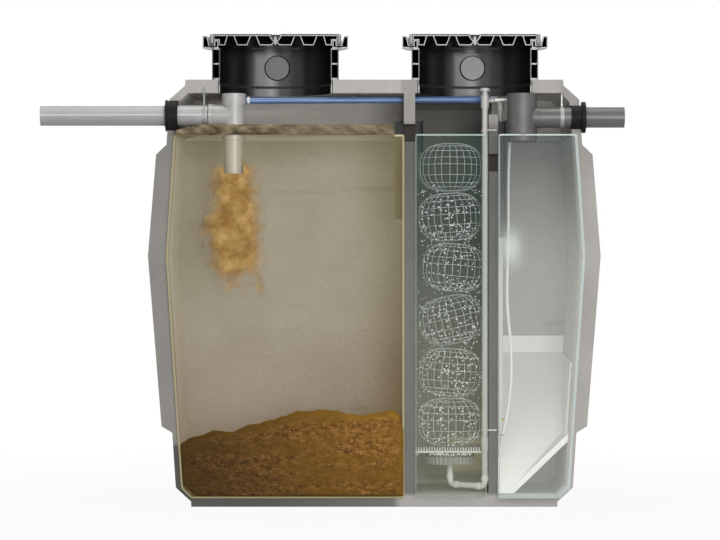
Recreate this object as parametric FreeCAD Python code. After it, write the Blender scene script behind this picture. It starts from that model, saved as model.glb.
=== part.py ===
import FreeCAD, Part
import math
import os
from FreeCAD import Vector

# Packaged sewage treatment plant, shown as a half cut on its long middle plane.
# X runs from inlet to outlet, Y runs back from the cut, Z is up. Lengths in mm.

# Tank shell
TANK_HALF_LENGTH = 1209.0     # outside, at the waist
TANK_DEPTH = 850.0            # outside, from the cut to the back, at the waist
TANK_HEIGHT = 2281.0          # underside to roof top
WAIST_DROP = 942.0            # roof top to waist
WAIST_WALL = 112.0            # wall thickness at the waist
LOW_WALL = 44.0               # wall thickness under the band
HIGH_WALL = 52.0              # wall thickness over the band
INNER_DRAFT = 0.0655
BAND_DRAFT = 0.080
BAND_LOW = 430.0
BAND_LOW_BEVEL = 35.0
BAND_HIGH_DROP = 400.0        # roof top to the upper edge of the band
BAND_HIGH_BEVEL = 53.0
FLOOR_THICK = 73.0
FOOT_LIP = 27.0
FOOT_RISE = 76.0
FOOT_INSET = 82.0
HEEL = 50.0                   # chamfer between floor and walls
ROOF_THICK = 71.0
ROOF_LIP = 32.0
ROOF_DRAFT = 3.0
SHOULDER_RISE = 74.0
SHOULDER_INSET = 83.0
HAUNCH = 50.0                 # chamfer between walls and ceiling
OVERSHOOT = 1.0               # run of a cutting tool past the face that it leaves

FLOOR = FLOOR_THICK
FOOT_TOP = FOOT_LIP + FOOT_RISE
CEILING = TANK_HEIGHT - ROOF_THICK
WAIST_Z = TANK_HEIGHT - WAIST_DROP
BAND_HIGH = TANK_HEIGHT - BAND_HIGH_DROP
ROOF_JOINT = TANK_HEIGHT - ROOF_LIP - SHOULDER_RISE
CORNER = TANK_HALF_LENGTH - TANK_DEPTH
FAR = 2.0 * TANK_HALF_LENGTH

# Partitions, with a window each; heights are drops from the ceiling
OUTLET_BAY = 598.0            # second partition to the outlet end of the tank
REACTOR_BAY = 453.0           # first partition to the second
FIRST_THICK = 60.0
FIRST_WINDOW_DROP = 260.0
SECOND_THICK = 50.0
SECOND_DROP = 115.0
SECOND_WINDOW_DROP = 419.0
WINDOW_HEIGHT = 94.0
WINDOW_REACH = 90.0           # half width, from the cut

SECOND_X = TANK_HALF_LENGTH - OUTLET_BAY
FIRST_X = SECOND_X - REACTOR_BAY
SECOND_TOP = CEILING - SECOND_DROP
FIRST_WINDOW_Z = CEILING - FIRST_WINDOW_DROP
SECOND_WINDOW_Z = CEILING - SECOND_WINDOW_DROP

# Baffle channels over the windows
BAFFLE_WALL = 6.0
BAFFLE_REACH = 110.0
BAFFLE_GAP = 48.0
BAFFLE_DROP = 145.0
SETTLING_BAFFLE_DIP = 413.0   # below the window that it covers
REACTOR_BAFFLE_DIP = 50.0
CLARIFIER_BAFFLE_DIP = 351.0

BAFFLE_TOP = CEILING - BAFFLE_DROP

# Access risers and lids
ACCESS_R = 306.5              # opening in the roof
NECK_GAP = 4.5
NECK_WALL = 6.0
RISER_FLARE = 32.0            # riser over the roof opening
RISER_HEIGHT = 169.0
RISER_SKIN = 5.0
RISER_FLANGE = 9.0
RISER_RIB = 8.0
BOSS_R = 66.5
BOSS_HEIGHT = 13.0
BOSS_RIM = 6.0
NECK_GROOVE = 3.0
NECK_GROOVE_LOW = 29.0        # under the roof top
NECK_GROOVE_HIGH = 2.0
SEAL_HEIGHT = 16.0
FRAME_FLARE = 50.5            # lid frame over the riser
FRAME_WIDTH = 84.0
FRAME_HEIGHT = 64.0
FRAME_WALL = 5.5
FRAME_LEDGE = 42.0
GROOVE_LEAD = 24.0            # from the outside of the frame
GROOVE_LEAN = 12.0
GROOVE_WIDTH = 26.0
GROOVE_FLOOR = 17.0
LID_MARGIN = 38.0             # lid inside its frame
LID_HEIGHT = 55.0
LID_SKIN = 5.0
LID_RIM_WIDTH = 22.0
LID_RIM_LIFT = 4.5            # rim over the lid's underside
LID_CHAMFER = 6.0
HUB_R = 6.5
HUB_SPAN = (0.06, 0.84)       # shares of the lid's height
LID_SEAT = 0.5
POCKETS = [                   # corners of each hollow ring as shares of the lid's radius and height
    [(0.083, 1.0), (0.065, 0.75), (0.036, 0.52), (0.017, 0.42), (0.017, 0.34), (0.054, 0.0),
     (0.245, 0.0), (0.304, 1.0)],
    [(0.364, 1.0), (0.429, 0.0), (0.582, 0.0), (0.645, 1.0)],
    [(0.722, 1.0), (0.767, 0.0), (0.8605, 0.0), (0.8605, LID_SEAT), (0.945, LID_SEAT), (0.945, 1.0)],
]
INLET_RISER_INSET = 681.0     # from the inlet end of the tank
OUTLET_RISER_LEAD = 74.0      # before the second partition

NECK_R = ACCESS_R - NECK_GAP
RISER_R = ACCESS_R + RISER_FLARE
FRAME_R = RISER_R + FRAME_FLARE
LID_R = FRAME_R - LID_MARGIN
FRAME_Z = TANK_HEIGHT + RISER_HEIGHT
INLET_RISER_X = INLET_RISER_INSET - TANK_HALF_LENGTH
OUTLET_RISER_X = SECOND_X - OUTLET_RISER_LEAD

# Drain pipes
PIPE_R = 55.0
PIPE_WALL = 3.2
FITTING_WALL = 3.6
FIT = 0.2                     # play between a pipe and its socket
STOP_BEAD = 2.0
BEAD_WIDTH = 6.0
INLET_DROP = 121.0
INLET_STUB = 571.0            # pipe outside the tank
INLET_TEE_INSET = 459.0
BRANCH_LENGTH = 134.0
SOCKET_DEPTH = 23.0
SOCKET_RISE = 4.5
COLLAR_RISE = 5.0
COLLAR_WIDTH = 9.0
COLLAR_LAP = 4.0
BRANCH_STEP = 0.4             # branch is this much slimmer than the barrel
CUP_PLAY = 1.5
CUP_SEAT = 10.0
INLET_GASKET_R = 80.0
GASKET_RISE = 4.0
GASKET_LIP = 8.0
TEE_TOP_GAP = 5.0
TEE_TOP_SOCKET = 62.0
TEE_DROP = 127.0              # tee end under the pipe's axis
DIP_LENGTH = 185.0
DIP_TAPER = 6.0
STRAP_WIDTH = 20.0
STRAP_THICK = 2.5
INLET_STRAP_LEAD = 25.0       # before the branch socket
INLET_ROD_R = 6.0
INLET_ROD_HOLD = 32.0         # length of a hanger rod inside the roof
OUTLET_DROP = 131.0
OUTLET_STUB = 124.0
OUTLET_TEE_LEAD = 178.0       # after the second partition
OUTLET_TEE_R = 80.0
OUTLET_TEE_WALL = 4.0
OUTLET_RING_DROP = 53.0
OUTLET_RING_RISE = 2.5
OUTLET_RING_WIDTH = 5.0
OUTLET_BRANCH = 97.0
OUTLET_GASKET_R = 63.0
OUTLET_LIP_R = 83.0
OUTLET_LIP = 20.0
OUTLET_STRAP_LEAD = 212.0     # after the tee
OUTLET_ROD_R = 3.5
OUTLET_ROD_HOLD = 8.0

INLET_Z = CEILING - INLET_DROP
INLET_END = -TANK_HALF_LENGTH - INLET_STUB
INLET_TEE_X = INLET_TEE_INSET - TANK_HALF_LENGTH
INLET_SOCKET_X = INLET_TEE_X - BRANCH_LENGTH
INLET_STRAP_X = INLET_SOCKET_X - INLET_STRAP_LEAD
INLET_LIP_R = INLET_GASKET_R + GASKET_RISE
TEE_LOW_Z = INLET_Z - TEE_DROP
DIP_LOW_Z = TEE_LOW_Z - DIP_LENGTH
TEE_RIM_R = PIPE_R + FITTING_WALL + COLLAR_RISE
OUTLET_Z = CEILING - OUTLET_DROP
OUTLET_END = TANK_HALF_LENGTH + OUTLET_STUB
OUTLET_TEE_X = SECOND_X + OUTLET_TEE_LEAD
OUTLET_TEE_LOW = OUTLET_Z - TEE_DROP
OUTLET_TEE_RING = OUTLET_Z - OUTLET_RING_DROP
OUTLET_SOCKET_X = OUTLET_TEE_X + OUTLET_BRANCH
OUTLET_STRAP_X = OUTLET_TEE_X + OUTLET_STRAP_LEAD

# Air line, diffuser and net balls
AIR_DEPTH = 20.0
AIR_R = 16.0
AIR_WALL = 2.4
AIR_SOCKET_R = 19.5
AIR_GAP = 0.3                 # between a socket and the partition
AIR_RUN_Z = 107.0
AIR_BEND = 30.0
AIR_COLLAR = 22.0
AIR_COUPLING = (303.0, 370.0)
LOW_CLIP_Z = 405.0
HIGH_CLIP_DROP = 87.0         # under the partition's top
CLIP_HEIGHT = 14.0
CLIP_PIN_R = 5.0
CLIP_HOLD = 38.0
AIR_TEE_RISE = 34.0           # over the partition's top
AIR_TEE_HEIGHT = 71.0
AIR_TEE_R = 21.5
AIR_STEM_R = 15.0
AIR_STEM = 24.0
AIR_CUP_R = 27.0
AIR_CUP_WALL = 4.0
AIR_CUP = 16.0
AIR_CUP_LAP = 4.0
AIR_SPOUT_R = 10.5
MEDIA_DEPTH = 176.0
MEDIA_LEAD = 193.0            # diffuser and balls after the first partition's far face
DIFFUSER_R = 138.0
DIFFUSER_Z = 220.0
DIFFUSER_HEIGHT = 39.0
DIFFUSER_FLUTES = 36
FLUTE_DEPTH = 5.0
MEMBRANE_R = 132.0
MEMBRANE_HEIGHT = 20.0
MEMBRANE_TAPER = 8.0
GRATE_Z = 285.0
GRATE_HEIGHT = 29.0
GRATE_FRONT = 45.0
GRATE_DEPTH = 280.0
GRATE_BAR = 6.5
GRATE_PITCH = 14.0
GRATE_TIE = 10.0
CLEAT = 20.0
BALL_R = 174.0
BALL_HEIGHT = 262.0
BALL_CAP_R = 88.0
BALL_BAR = 5.0
BALL_INSET = 0.7
BALL_MERIDIANS = 10
BALLS = [(-2.0, 0.0), (0.0, 4.0), (3.0, -13.0), (21.0, 5.0), (0.0, -4.0), (3.0, 0.0)]    # sideways, tilt
BALL_SIDE = [(BALL_CAP_R, 1.0), (0.80 * BALL_R, 0.78), (0.95 * BALL_R, 0.42), (BALL_R, 0.0),
             (0.95 * BALL_R, -0.42), (0.80 * BALL_R, -0.78), (BALL_CAP_R, -1.0)]

AIR_X = SECOND_X - AIR_SOCKET_R - AIR_GAP
AIR_TEE_LOW = SECOND_TOP + AIR_TEE_RISE
AIR_CLIPS_Z = (LOW_CLIP_Z, SECOND_TOP - HIGH_CLIP_DROP)
DIFFUSER_X = FIRST_X + FIRST_THICK + MEDIA_LEAD

# Sludge return and air hose
RETURN_R = 17.0
RETURN_WALL = 2.5
RETURN_FALL = 16.0
RETURN_DEPTH = 12.0
RETURN_SLEEVE = 3.0
RETURN_COUPLING = (104.0, -2.0)    # before the second partition
RETURN_NUT = 4.0
RETURN_NUT_RUN = (8.0, 20.0)
AIRLIFT_LEAD = 70.0           # after the second partition
AIRLIFT_DEPTH = 150.0
AIRLIFT_R = 15.0
AIRLIFT_LOW = 262.0
AIRLIFT_DROP = 25.0
AIRLIFT_BEND = 34.0
AIRLIFT_LEG = 25.0
AIRLIFT_REACH = 22.0
AIRLIFT_ELBOW_R = 18.0
AIRLIFT_COLLAR = 12.0
AIRLIFT_COLLAR_RISE = 3.0
NIPPLE_R = 5.0
NIPPLE_Z = 330.0
NIPPLE_LEG = 18.0             # along the end of the hose
NIPPLE_BEND = 8.0
HOSE_R = 8.5
HOSE_START = 40.0
HOSE_FIRST = 102.0
HOSE_END = (79.0, 123.0, 0.0196)
HOSE_BENDS = [(131.0, 108.0, 1.0084), (124.0, 113.0, 0.9430), (110.0, 112.0, 0.7882), (112.0, 114.0, 0.6596),
              (108.0, 116.0, 0.5331), (102.0, 120.0, 0.4116), (127.0, 126.0, 0.2933), (130.0, 130.0, 0.1908),
              (112.0, 128.0, 0.0981)]    # after the second partition, depth, share of the height

AIRLIFT_X = SECOND_X + AIRLIFT_LEAD
AIRLIFT_TOP = CEILING - AIRLIFT_DROP

# Clarifier hopper, settled sludge and floating scum
HOPPER_PLATE = 28.0
HOPPER_SLOPE = 44.0           # degrees
HOPPER_FLOOR = 74.0           # flat floor between the partition and the slope
HOPPER_BAND_Z = 803.0
HOPPER_BAND = 93.0
SKIRT_THICK = 8.0             # upright sheet on the end wall over the slope
SKIRT_FRONT = 70.0
SKIRT_FALL = 34.0
SLUDGE_GAP = 2.0
SLUDGE_TOP = [(0.0073, 350), (0.0117, 402), (0.0293, 436), (0.0527, 445), (0.1039, 431), (0.1646, 417),
              (0.2195, 424), (0.2721, 443), (0.3255, 447), (0.3767, 438), (0.4184, 440), (0.4718, 416),
              (0.5230, 391), (0.6072, 368), (0.6913, 328), (0.7535, 336), (0.8266, 305), (0.9510, 230)]
SCUM_DROP = 227.0
SCUM_FRONT = 74.0             # crust before the cut, over the tee
SCUM_GAP = 2.0
SCUM_TOP = [(0.0, 46), (0.015, 54), (0.20, 56), (0.50, 58), (0.80, 57), (0.90, 48), (1.0, 24)]

SLUDGE_RUN = FIRST_X + TANK_HALF_LENGTH
SCUM_Z = CEILING - SCUM_DROP


def inner_half(z):
    return TANK_HALF_LENGTH - WAIST_WALL - INNER_DRAFT * abs(z - WAIST_Z)


def band_half(z):
    return TANK_HALF_LENGTH - BAND_DRAFT * abs(z - WAIST_Z)


def ceiling_half(z):
    return inner_half(CEILING - HAUNCH) - (z - CEILING + HAUNCH)


FOOT_HALF = inner_half(FOOT_TOP) + LOW_WALL - FOOT_INSET
CUT_Y = -(FOOT_HALF - CORNER) / 2.0


def at(x, depth, z):
    """Point at a depth behind the cut."""
    return Vector(x, CUT_Y + depth, z)


def foot_half(z):
    return FOOT_HALF + FOOT_INSET * (z - FOOT_LIP) / FOOT_RISE


def face(points):
    return Part.Face(Part.makePolygon(points + points[:1]))


def box(x0, x1, d0, d1, z0, z1):
    return Part.makeBox(x1 - x0, d1 - d0, z1 - z0, at(x0, d0, z0))


def rod(radius, start, end):
    return Part.makeCylinder(radius, (end - start).Length, start, end - start)


def fused(shapes):
    return shapes[0].multiFuse(shapes[1:]).removeSplitter()


def turned(profile, x, z):
    """Half ring behind the cut from (radius, height) points about a vertical axis."""
    ring = face([at(x + r, 0, z + h) for r, h in profile])
    return ring.revolve(at(x, 0, 0), Vector(0, 0, 1), 180)


def turned_shell(profile, wall, x, z):
    """Half ring like turned, hollow inside a wall of even thickness."""
    points = [at(x + r, 0, z + h) for r, h in profile]
    outline = Part.makePolygon(points + points[:1])
    section = Part.Face(outline).cut(Part.Face(outline.makeOffset2D(-wall, 2)))
    return section.Faces[0].revolve(at(x, 0, 0), Vector(0, 0, 1), 180)


def tiers(levels):
    """Block behind the cut whose half length and depth change together from level to level."""
    left = [at(-h, 0, z) for h, z in levels]
    right = [at(h, 0, z) for h, z in levels]
    far_left = [at(-h, h - CORNER, z) for h, z in levels]
    far_right = [at(h, h - CORNER, z) for h, z in levels]
    faces = [face(left + right[::-1])]
    for i in range(len(levels) - 1):
        for a, b in ((left, far_left), (far_left, far_right), (far_right, right)):
            faces.append(face([a[i], b[i], b[i + 1], a[i + 1]]))
    for i in (0, -1):
        faces.append(face([left[i], far_left[i], far_right[i], right[i]]))
    return Part.Solid(Part.Shell(faces))


def cavity(gap=0.0):
    levels = [(inner_half(FLOOR + HEEL) - HEEL, FLOOR), (inner_half(FLOOR + HEEL), FLOOR + HEEL),
              (inner_half(WAIST_Z), WAIST_Z), (inner_half(CEILING - HAUNCH), CEILING - HAUNCH),
              (ceiling_half(CEILING), CEILING)]
    return tiers([(h - gap, z) for h, z in levels])


def route(points, bend):
    """Straight runs joined by tangent arcs; bend gives the radius from (shorter run, half turn)."""
    edges = []
    start = points[0]
    for a, b, c in zip(points, points[1:], points[2:]):
        u = (b - a).normalize()
        v = (c - b).normalize()
        half = u.getAngle(v) / 2.0
        radius = bend(min((b - a).Length, (c - b).Length), half)
        run = radius * math.tan(half)
        first = b - u * run
        last = b + v * run
        inward = (v - u).normalize()
        middle = b + inward * (radius / math.cos(half) - radius)
        edges.append(Part.makeLine(start, first))
        edges.append(Part.Arc(first, middle, last).toShape())
        start = last
    edges.append(Part.makeLine(start, points[-1]))
    return Part.Wire(edges)


def swept(radius, points, bend):
    wire = route(points, bend)
    end = Part.Face(Part.Wire(Part.makeCircle(radius, points[0], points[1] - points[0])))
    return wire.makePipe(end)


# Shell
WALL_PROFILE = [
    (foot_half(FLOOR), FLOOR),
    (inner_half(FOOT_TOP) + LOW_WALL, FOOT_TOP),
    (inner_half(BAND_LOW - BAND_LOW_BEVEL) + LOW_WALL, BAND_LOW - BAND_LOW_BEVEL),
    (band_half(BAND_LOW), BAND_LOW),
    (band_half(WAIST_Z), WAIST_Z),
    (band_half(BAND_HIGH), BAND_HIGH),
    (inner_half(BAND_HIGH + BAND_HIGH_BEVEL) + HIGH_WALL, BAND_HIGH + BAND_HIGH_BEVEL),
    (inner_half(ROOF_JOINT) + HIGH_WALL, ROOF_JOINT),
    (ceiling_half(ROOF_JOINT), ROOF_JOINT),
    (inner_half(CEILING - HAUNCH), CEILING - HAUNCH),
    (inner_half(WAIST_Z), WAIST_Z),
    (inner_half(FLOOR + HEEL), FLOOR + HEEL),
    (inner_half(FLOOR + HEEL) - HEEL, FLOOR),
]


def mitre(side):
    """Plan region of an end wall (side -1 or 1) or of the back wall (side 0)."""
    if side:
        plan = [at(side * CORNER, 0, 0), at(side * FAR, 0, 0), at(side * FAR, FAR - CORNER, 0)]
    else:
        plan = [at(-CORNER, 0, 0), at(CORNER, 0, 0), at(FAR, FAR - CORNER, 0), at(-FAR, FAR - CORNER, 0)]
    return face(plan).extrude(Vector(0, 0, TANK_HEIGHT))


def end_wall(side, z, radius):
    slab = face([at(side * h, 0, level) for h, level in WALL_PROFILE]).extrude(Vector(0, FAR, 0))
    hole = rod(radius, at(side * CORNER, 0, z), at(side * FAR, 0, z))
    return slab.common(mitre(side)).cut(hole)


def back_wall():
    slab = face([at(-FAR, h - CORNER, z) for h, z in WALL_PROFILE]).extrude(Vector(2 * FAR, 0, 0))
    return slab.common(mitre(0))


def roof():
    edge = inner_half(ROOF_JOINT) + HIGH_WALL
    slab = tiers([(edge, ROOF_JOINT), (edge - SHOULDER_INSET, TANK_HEIGHT - ROOF_LIP),
                  (edge - SHOULDER_INSET - ROOF_DRAFT, TANK_HEIGHT)])
    slab = slab.cut(tiers([(ceiling_half(ROOF_JOINT), ROOF_JOINT), (ceiling_half(CEILING), CEILING)]))
    for x in (INLET_RISER_X, OUTLET_RISER_X):
        slab = slab.cut(rod(ACCESS_R, at(x, 0, ROOF_JOINT), at(x, 0, TANK_HEIGHT + OVERSHOOT)))
    return slab.cut(hanger_rod(0)).cut(hanger_rod(1))


def hanger_rod(outlet):
    if outlet:
        top = CEILING + OUTLET_ROD_HOLD
        return rod(OUTLET_ROD_R, at(OUTLET_STRAP_X, 0, OUTLET_Z + PIPE_R), at(OUTLET_STRAP_X, 0, top))
    top = CEILING + INLET_ROD_HOLD
    return rod(INLET_ROD_R, at(INLET_STRAP_X, 0, INLET_Z + PIPE_R), at(INLET_STRAP_X, 0, top))


def hanger(outlet):
    x, z = (OUTLET_STRAP_X, OUTLET_Z) if outlet else (INLET_STRAP_X, INLET_Z)
    ends = at(x - STRAP_WIDTH / 2, 0, z), at(x + STRAP_WIDTH / 2, 0, z)
    strap = rod(PIPE_R + STRAP_THICK, *ends).fuse(hanger_rod(outlet))
    return strap.cut(rod(PIPE_R, *ends)).removeSplitter()


# Partitions and baffles
def first_partition():
    slab = cavity().common(box(FIRST_X, FIRST_X + FIRST_THICK, 0, FAR, 0, TANK_HEIGHT))
    slab = slab.cut(box(0, FAR, -OVERSHOOT, WINDOW_REACH, FIRST_WINDOW_Z, FIRST_WINDOW_Z + WINDOW_HEIGHT))
    return slab.cut(rod(RETURN_R + FIT, RETURN_START, RETURN_END))


def second_partition():
    slab = cavity().common(box(SECOND_X, SECOND_X + SECOND_THICK, 0, FAR, 0, SECOND_TOP))
    slab = slab.cut(box(0, FAR, -OVERSHOOT, WINDOW_REACH, SECOND_WINDOW_Z, SECOND_WINDOW_Z + WINDOW_HEIGHT))
    return slab.cut(fused([clip_pin(z) for z in AIR_CLIPS_Z]))


def baffle(wall_x, side, low):
    """Half of an upright channel open at the top and bottom, on one face of a partition."""
    outer = sorted((wall_x, wall_x + side * BAFFLE_GAP))
    inner = sorted((wall_x, wall_x + side * (BAFFLE_GAP - BAFFLE_WALL)))
    channel = box(outer[0], outer[1], 0, BAFFLE_REACH, low, BAFFLE_TOP)
    return channel.cut(box(inner[0], inner[1], -OVERSHOOT, BAFFLE_REACH - BAFFLE_WALL, low, BAFFLE_TOP))


# Risers and lids
def riser(x):
    inner = NECK_R - NECK_WALL
    rib = RISER_HEIGHT / 2
    neck = OVERSHOOT - ROOF_THICK
    body = turned([(inner, neck), (NECK_R, neck), (NECK_R, 0), (RISER_R, 0), (RISER_R, RISER_HEIGHT),
                   (inner, RISER_HEIGHT)], x, TANK_HEIGHT)
    for low, high in ((RISER_FLANGE, rib - RISER_RIB / 2), (rib + RISER_RIB / 2, RISER_HEIGHT - RISER_FLANGE)):
        body = body.cut(turned([(inner + RISER_SKIN, low), (RISER_R - RISER_SKIN, low),
                                (RISER_R - RISER_SKIN, high), (inner + RISER_SKIN, high)], x, TANK_HEIGHT))
    near, far = inner - OVERSHOOT, inner + NECK_GROOVE
    body = body.cut(turned([(near, -NECK_GROOVE_LOW), (far, -NECK_GROOVE_LOW), (far, -NECK_GROOVE_HIGH),
                            (near, -NECK_GROOVE_HIGH)], x, TANK_HEIGHT))
    z = TANK_HEIGHT + rib
    front = inner - BOSS_HEIGHT
    boss = rod(BOSS_R, at(x, front, z), at(x, RISER_R, z)).common(
        rod(inner + RISER_SKIN / 2, at(x, 0, TANK_HEIGHT), at(x, 0, TANK_HEIGHT + RISER_HEIGHT)))
    dish = rod(BOSS_R - BOSS_RIM, at(x, 0, z), at(x, front + BOSS_RIM / 2, z))
    return body.fuse(boss).cut(dish).removeSplitter()


def seal(x):
    low = TANK_HEIGHT - 2 * SEAL_HEIGHT
    return turned([(NECK_R, low), (ACCESS_R, low), (ACCESS_R, low + SEAL_HEIGHT),
                   (NECK_R, low + SEAL_HEIGHT)], x, 0)


def lid_frame(x):
    """Hollow ring with a groove for the lid's rim and a ledge inside it."""
    inner = FRAME_R - FRAME_WIDTH
    far = FRAME_R - GROOVE_LEAD
    near = far - GROOVE_LEAN - GROOVE_WIDTH
    return turned_shell([(inner, 0), (FRAME_R, 0), (FRAME_R, FRAME_HEIGHT), (far, FRAME_HEIGHT),
                         (far - GROOVE_LEAN, GROOVE_FLOOR), (near, GROOVE_FLOOR), (near, FRAME_LEDGE),
                         (inner, FRAME_LEDGE)], FRAME_WALL, x, FRAME_Z)


def lid(x):
    """Plate with a rim, a dished hub and hollow rings under it, open where the cut passes."""
    low = FRAME_Z + FRAME_LEDGE - LID_SEAT * LID_HEIGHT
    plate = LID_HEIGHT - LID_SKIN
    rim = LID_R - LID_RIM_WIDTH
    start = POCKETS[0][-1][0] * LID_R - LID_SKIN
    body = [turned([(start, plate), (start, LID_HEIGHT), (LID_R - LID_CHAMFER, LID_HEIGHT),
                    (LID_R, LID_HEIGHT - LID_CHAMFER), (LID_R, LID_RIM_LIFT), (rim, LID_RIM_LIFT),
                    (rim, plate)], x, low)]
    ends = [share * LID_HEIGHT for share in HUB_SPAN]
    body.append(turned([(0, ends[0]), (HUB_R, ends[0]), (HUB_R, ends[1]), (0, ends[1])], x, low))
    for corners in POCKETS:
        body.append(turned_shell([(r * LID_R, h * LID_HEIGHT) for r, h in corners], LID_SKIN, x, low))
    return fused(body)


# Inlet and outlet pipes
def drain_pipe(z, near, end, lip):
    """Pipe along X with a stop bead just outside its gasket."""
    bead = math.copysign(BEAD_WIDTH, end)
    tube = rod(PIPE_R, at(near, 0, z), at(end, 0, z)).fuse(
        rod(PIPE_R + STOP_BEAD, at(lip, 0, z), at(lip + bead, 0, z)))
    return tube.cut(rod(PIPE_R - PIPE_WALL, at(near, 0, z), at(end, 0, z))).removeSplitter()


def gasket_end(z, lip_r):
    return inner_half(z - lip_r) + HIGH_WALL


def gasket(side, z, body_r, lip_r, lip):
    """Sleeve in the wall with a lip outside it."""
    face_x = gasket_end(z, lip_r)
    near = inner_half(z)
    sleeve = rod(body_r, at(side * near, 0, z), at(side * face_x, 0, z))
    flange = rod(lip_r, at(side * face_x, 0, z), at(side * (face_x + lip), 0, z))
    bore = rod(PIPE_R, at(side * (near - OVERSHOOT), 0, z), at(side * (face_x + lip + OVERSHOOT), 0, z))
    return sleeve.fuse(flange).cut(bore).removeSplitter()


def inlet_tee():
    barrel = PIPE_R + FITTING_WALL
    top = CEILING - TEE_TOP_GAP
    socket = top - TEE_TOP_SOCKET
    x, z = INLET_TEE_X, INLET_Z
    body = fused([
        rod(barrel, at(x, 0, TEE_LOW_Z), at(x, 0, socket + COLLAR_LAP)),
        rod(TEE_RIM_R, at(x, 0, socket), at(x, 0, top)),
        rod(TEE_RIM_R, at(x, 0, TEE_LOW_Z), at(x, 0, TEE_LOW_Z + COLLAR_WIDTH)),
        rod(barrel - BRANCH_STEP, at(INLET_SOCKET_X, 0, z), at(x, 0, z)),
        rod(barrel + SOCKET_RISE, at(INLET_SOCKET_X, 0, z), at(INLET_SOCKET_X + SOCKET_DEPTH, 0, z)),
    ])
    mouth = INLET_SOCKET_X - OVERSHOOT
    bores = fused([
        rod(PIPE_R - PIPE_WALL, at(x, 0, TEE_LOW_Z - OVERSHOOT), at(x, 0, top + OVERSHOOT)),
        rod(PIPE_R + CUP_PLAY, at(x, 0, socket + CUP_SEAT), at(x, 0, top + OVERSHOOT)),
        rod(PIPE_R - PIPE_WALL - BRANCH_STEP, at(mouth, 0, z), at(x, 0, z)),
        rod(PIPE_R, at(mouth, 0, z), at(INLET_SOCKET_X + SOCKET_DEPTH, 0, z)),
    ])
    return body.cut(bores)


def dip_pipe():
    x = INLET_TEE_X
    cones = [Part.makeCone(r - DIP_TAPER, r, DIP_LENGTH, at(x, 0, DIP_LOW_Z))
             for r in (PIPE_R, PIPE_R - PIPE_WALL)]
    return cones[0].cut(cones[1])


def outlet_tee():
    x, z = OUTLET_TEE_X, OUTLET_Z
    top = CEILING - TEE_TOP_GAP
    socket = PIPE_R + FITTING_WALL
    ring = at(x, 0, OUTLET_TEE_RING), at(x, 0, OUTLET_TEE_RING + OUTLET_RING_WIDTH)
    body = fused([
        rod(OUTLET_TEE_R, at(x, 0, OUTLET_TEE_LOW), at(x, 0, top)),
        rod(OUTLET_TEE_R + OUTLET_RING_RISE, *ring),
        rod(socket, at(x, 0, z), at(OUTLET_SOCKET_X, 0, z)),
    ])
    bores = fused([
        rod(OUTLET_TEE_R - OUTLET_TEE_WALL, at(x, 0, OUTLET_TEE_LOW - OVERSHOOT), at(x, 0, top + OVERSHOOT)),
        rod(PIPE_R, at(x, 0, z), at(OUTLET_SOCKET_X + OVERSHOOT, 0, z)),
    ])
    return body.cut(bores)


# Air line and diffuser
def air_point(z):
    return at(AIR_X, AIR_DEPTH, z)


def air_pipe():
    sleeve = rod(AIR_SOCKET_R, air_point(AIR_COUPLING[0]), air_point(AIR_COUPLING[1]))
    low, high = air_point(AIR_RUN_Z + 2 * AIR_BEND), air_point(AIR_TEE_LOW)
    return rod(AIR_R, low, high).fuse(sleeve).cut(rod(AIR_R - AIR_WALL, low, high)).removeSplitter()


def air_feed():
    """Bend, floor run and upright under the diffuser."""
    top = air_point(AIR_RUN_Z + 2 * AIR_BEND)
    corner = air_point(AIR_RUN_Z)
    foot = at(DIFFUSER_X, MEDIA_DEPTH, AIR_RUN_Z)
    end = at(DIFFUSER_X, MEDIA_DEPTH, DIFFUSER_Z)
    along = (foot - corner).normalize()
    up = Vector(0, 0, 1)
    tube = swept(AIR_R, [top, corner, foot, end], lambda run, half: AIR_BEND)
    collars = [rod(AIR_SOCKET_R, turn + aim * AIR_BEND, turn + aim * (AIR_BEND + AIR_COLLAR))
               for turn, aim in ((corner, up), (corner, along), (foot, along * -1), (foot, up))]
    return fused([tube] + collars)


def air_tee():
    low, high = air_point(AIR_TEE_LOW), air_point(AIR_TEE_LOW + AIR_TEE_HEIGHT)
    up = Vector(0, 0, 1)
    stem = high + up * AIR_STEM
    cup = stem - up * AIR_CUP_LAP
    body = fused([rod(AIR_TEE_R, low, high), rod(AIR_STEM_R, high, stem),
                  rod(AIR_CUP_R, cup, cup + up * AIR_CUP), rod(AIR_SPOUT_R, HOSE_ROOT, HOSE[0])])
    return body.cut(rod(AIR_CUP_R - AIR_CUP_WALL, stem, stem + up * AIR_CUP))


def clip_pin(z):
    return rod(CLIP_PIN_R, at(AIR_X + AIR_R, AIR_DEPTH, z), at(SECOND_X + CLIP_HOLD, AIR_DEPTH, z))


def air_clips():
    clips = []
    for z in AIR_CLIPS_Z:
        low, high = air_point(z - CLIP_HEIGHT / 2), air_point(z + CLIP_HEIGHT / 2)
        clips.append(rod(AIR_SOCKET_R, low, high).fuse(clip_pin(z)).cut(rod(AIR_R, low, high)))
    return Part.makeCompound(clips)


def diffuser():
    x, low = DIFFUSER_X, DIFFUSER_Z
    outline = []
    for i in range(2 * DIFFUSER_FLUTES):
        r = DIFFUSER_R - (0.0 if i % 2 else FLUTE_DEPTH)
        a = math.pi * i / DIFFUSER_FLUTES
        outline.append(at(x + r * math.cos(a), MEDIA_DEPTH + r * math.sin(a), low))
    return face(outline).extrude(Vector(0, 0, DIFFUSER_HEIGHT))


def membrane():
    low = at(DIFFUSER_X, MEDIA_DEPTH, DIFFUSER_Z + DIFFUSER_HEIGHT)
    return Part.makeCone(MEMBRANE_R, MEMBRANE_R - MEMBRANE_TAPER, MEMBRANE_HEIGHT, low)


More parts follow.
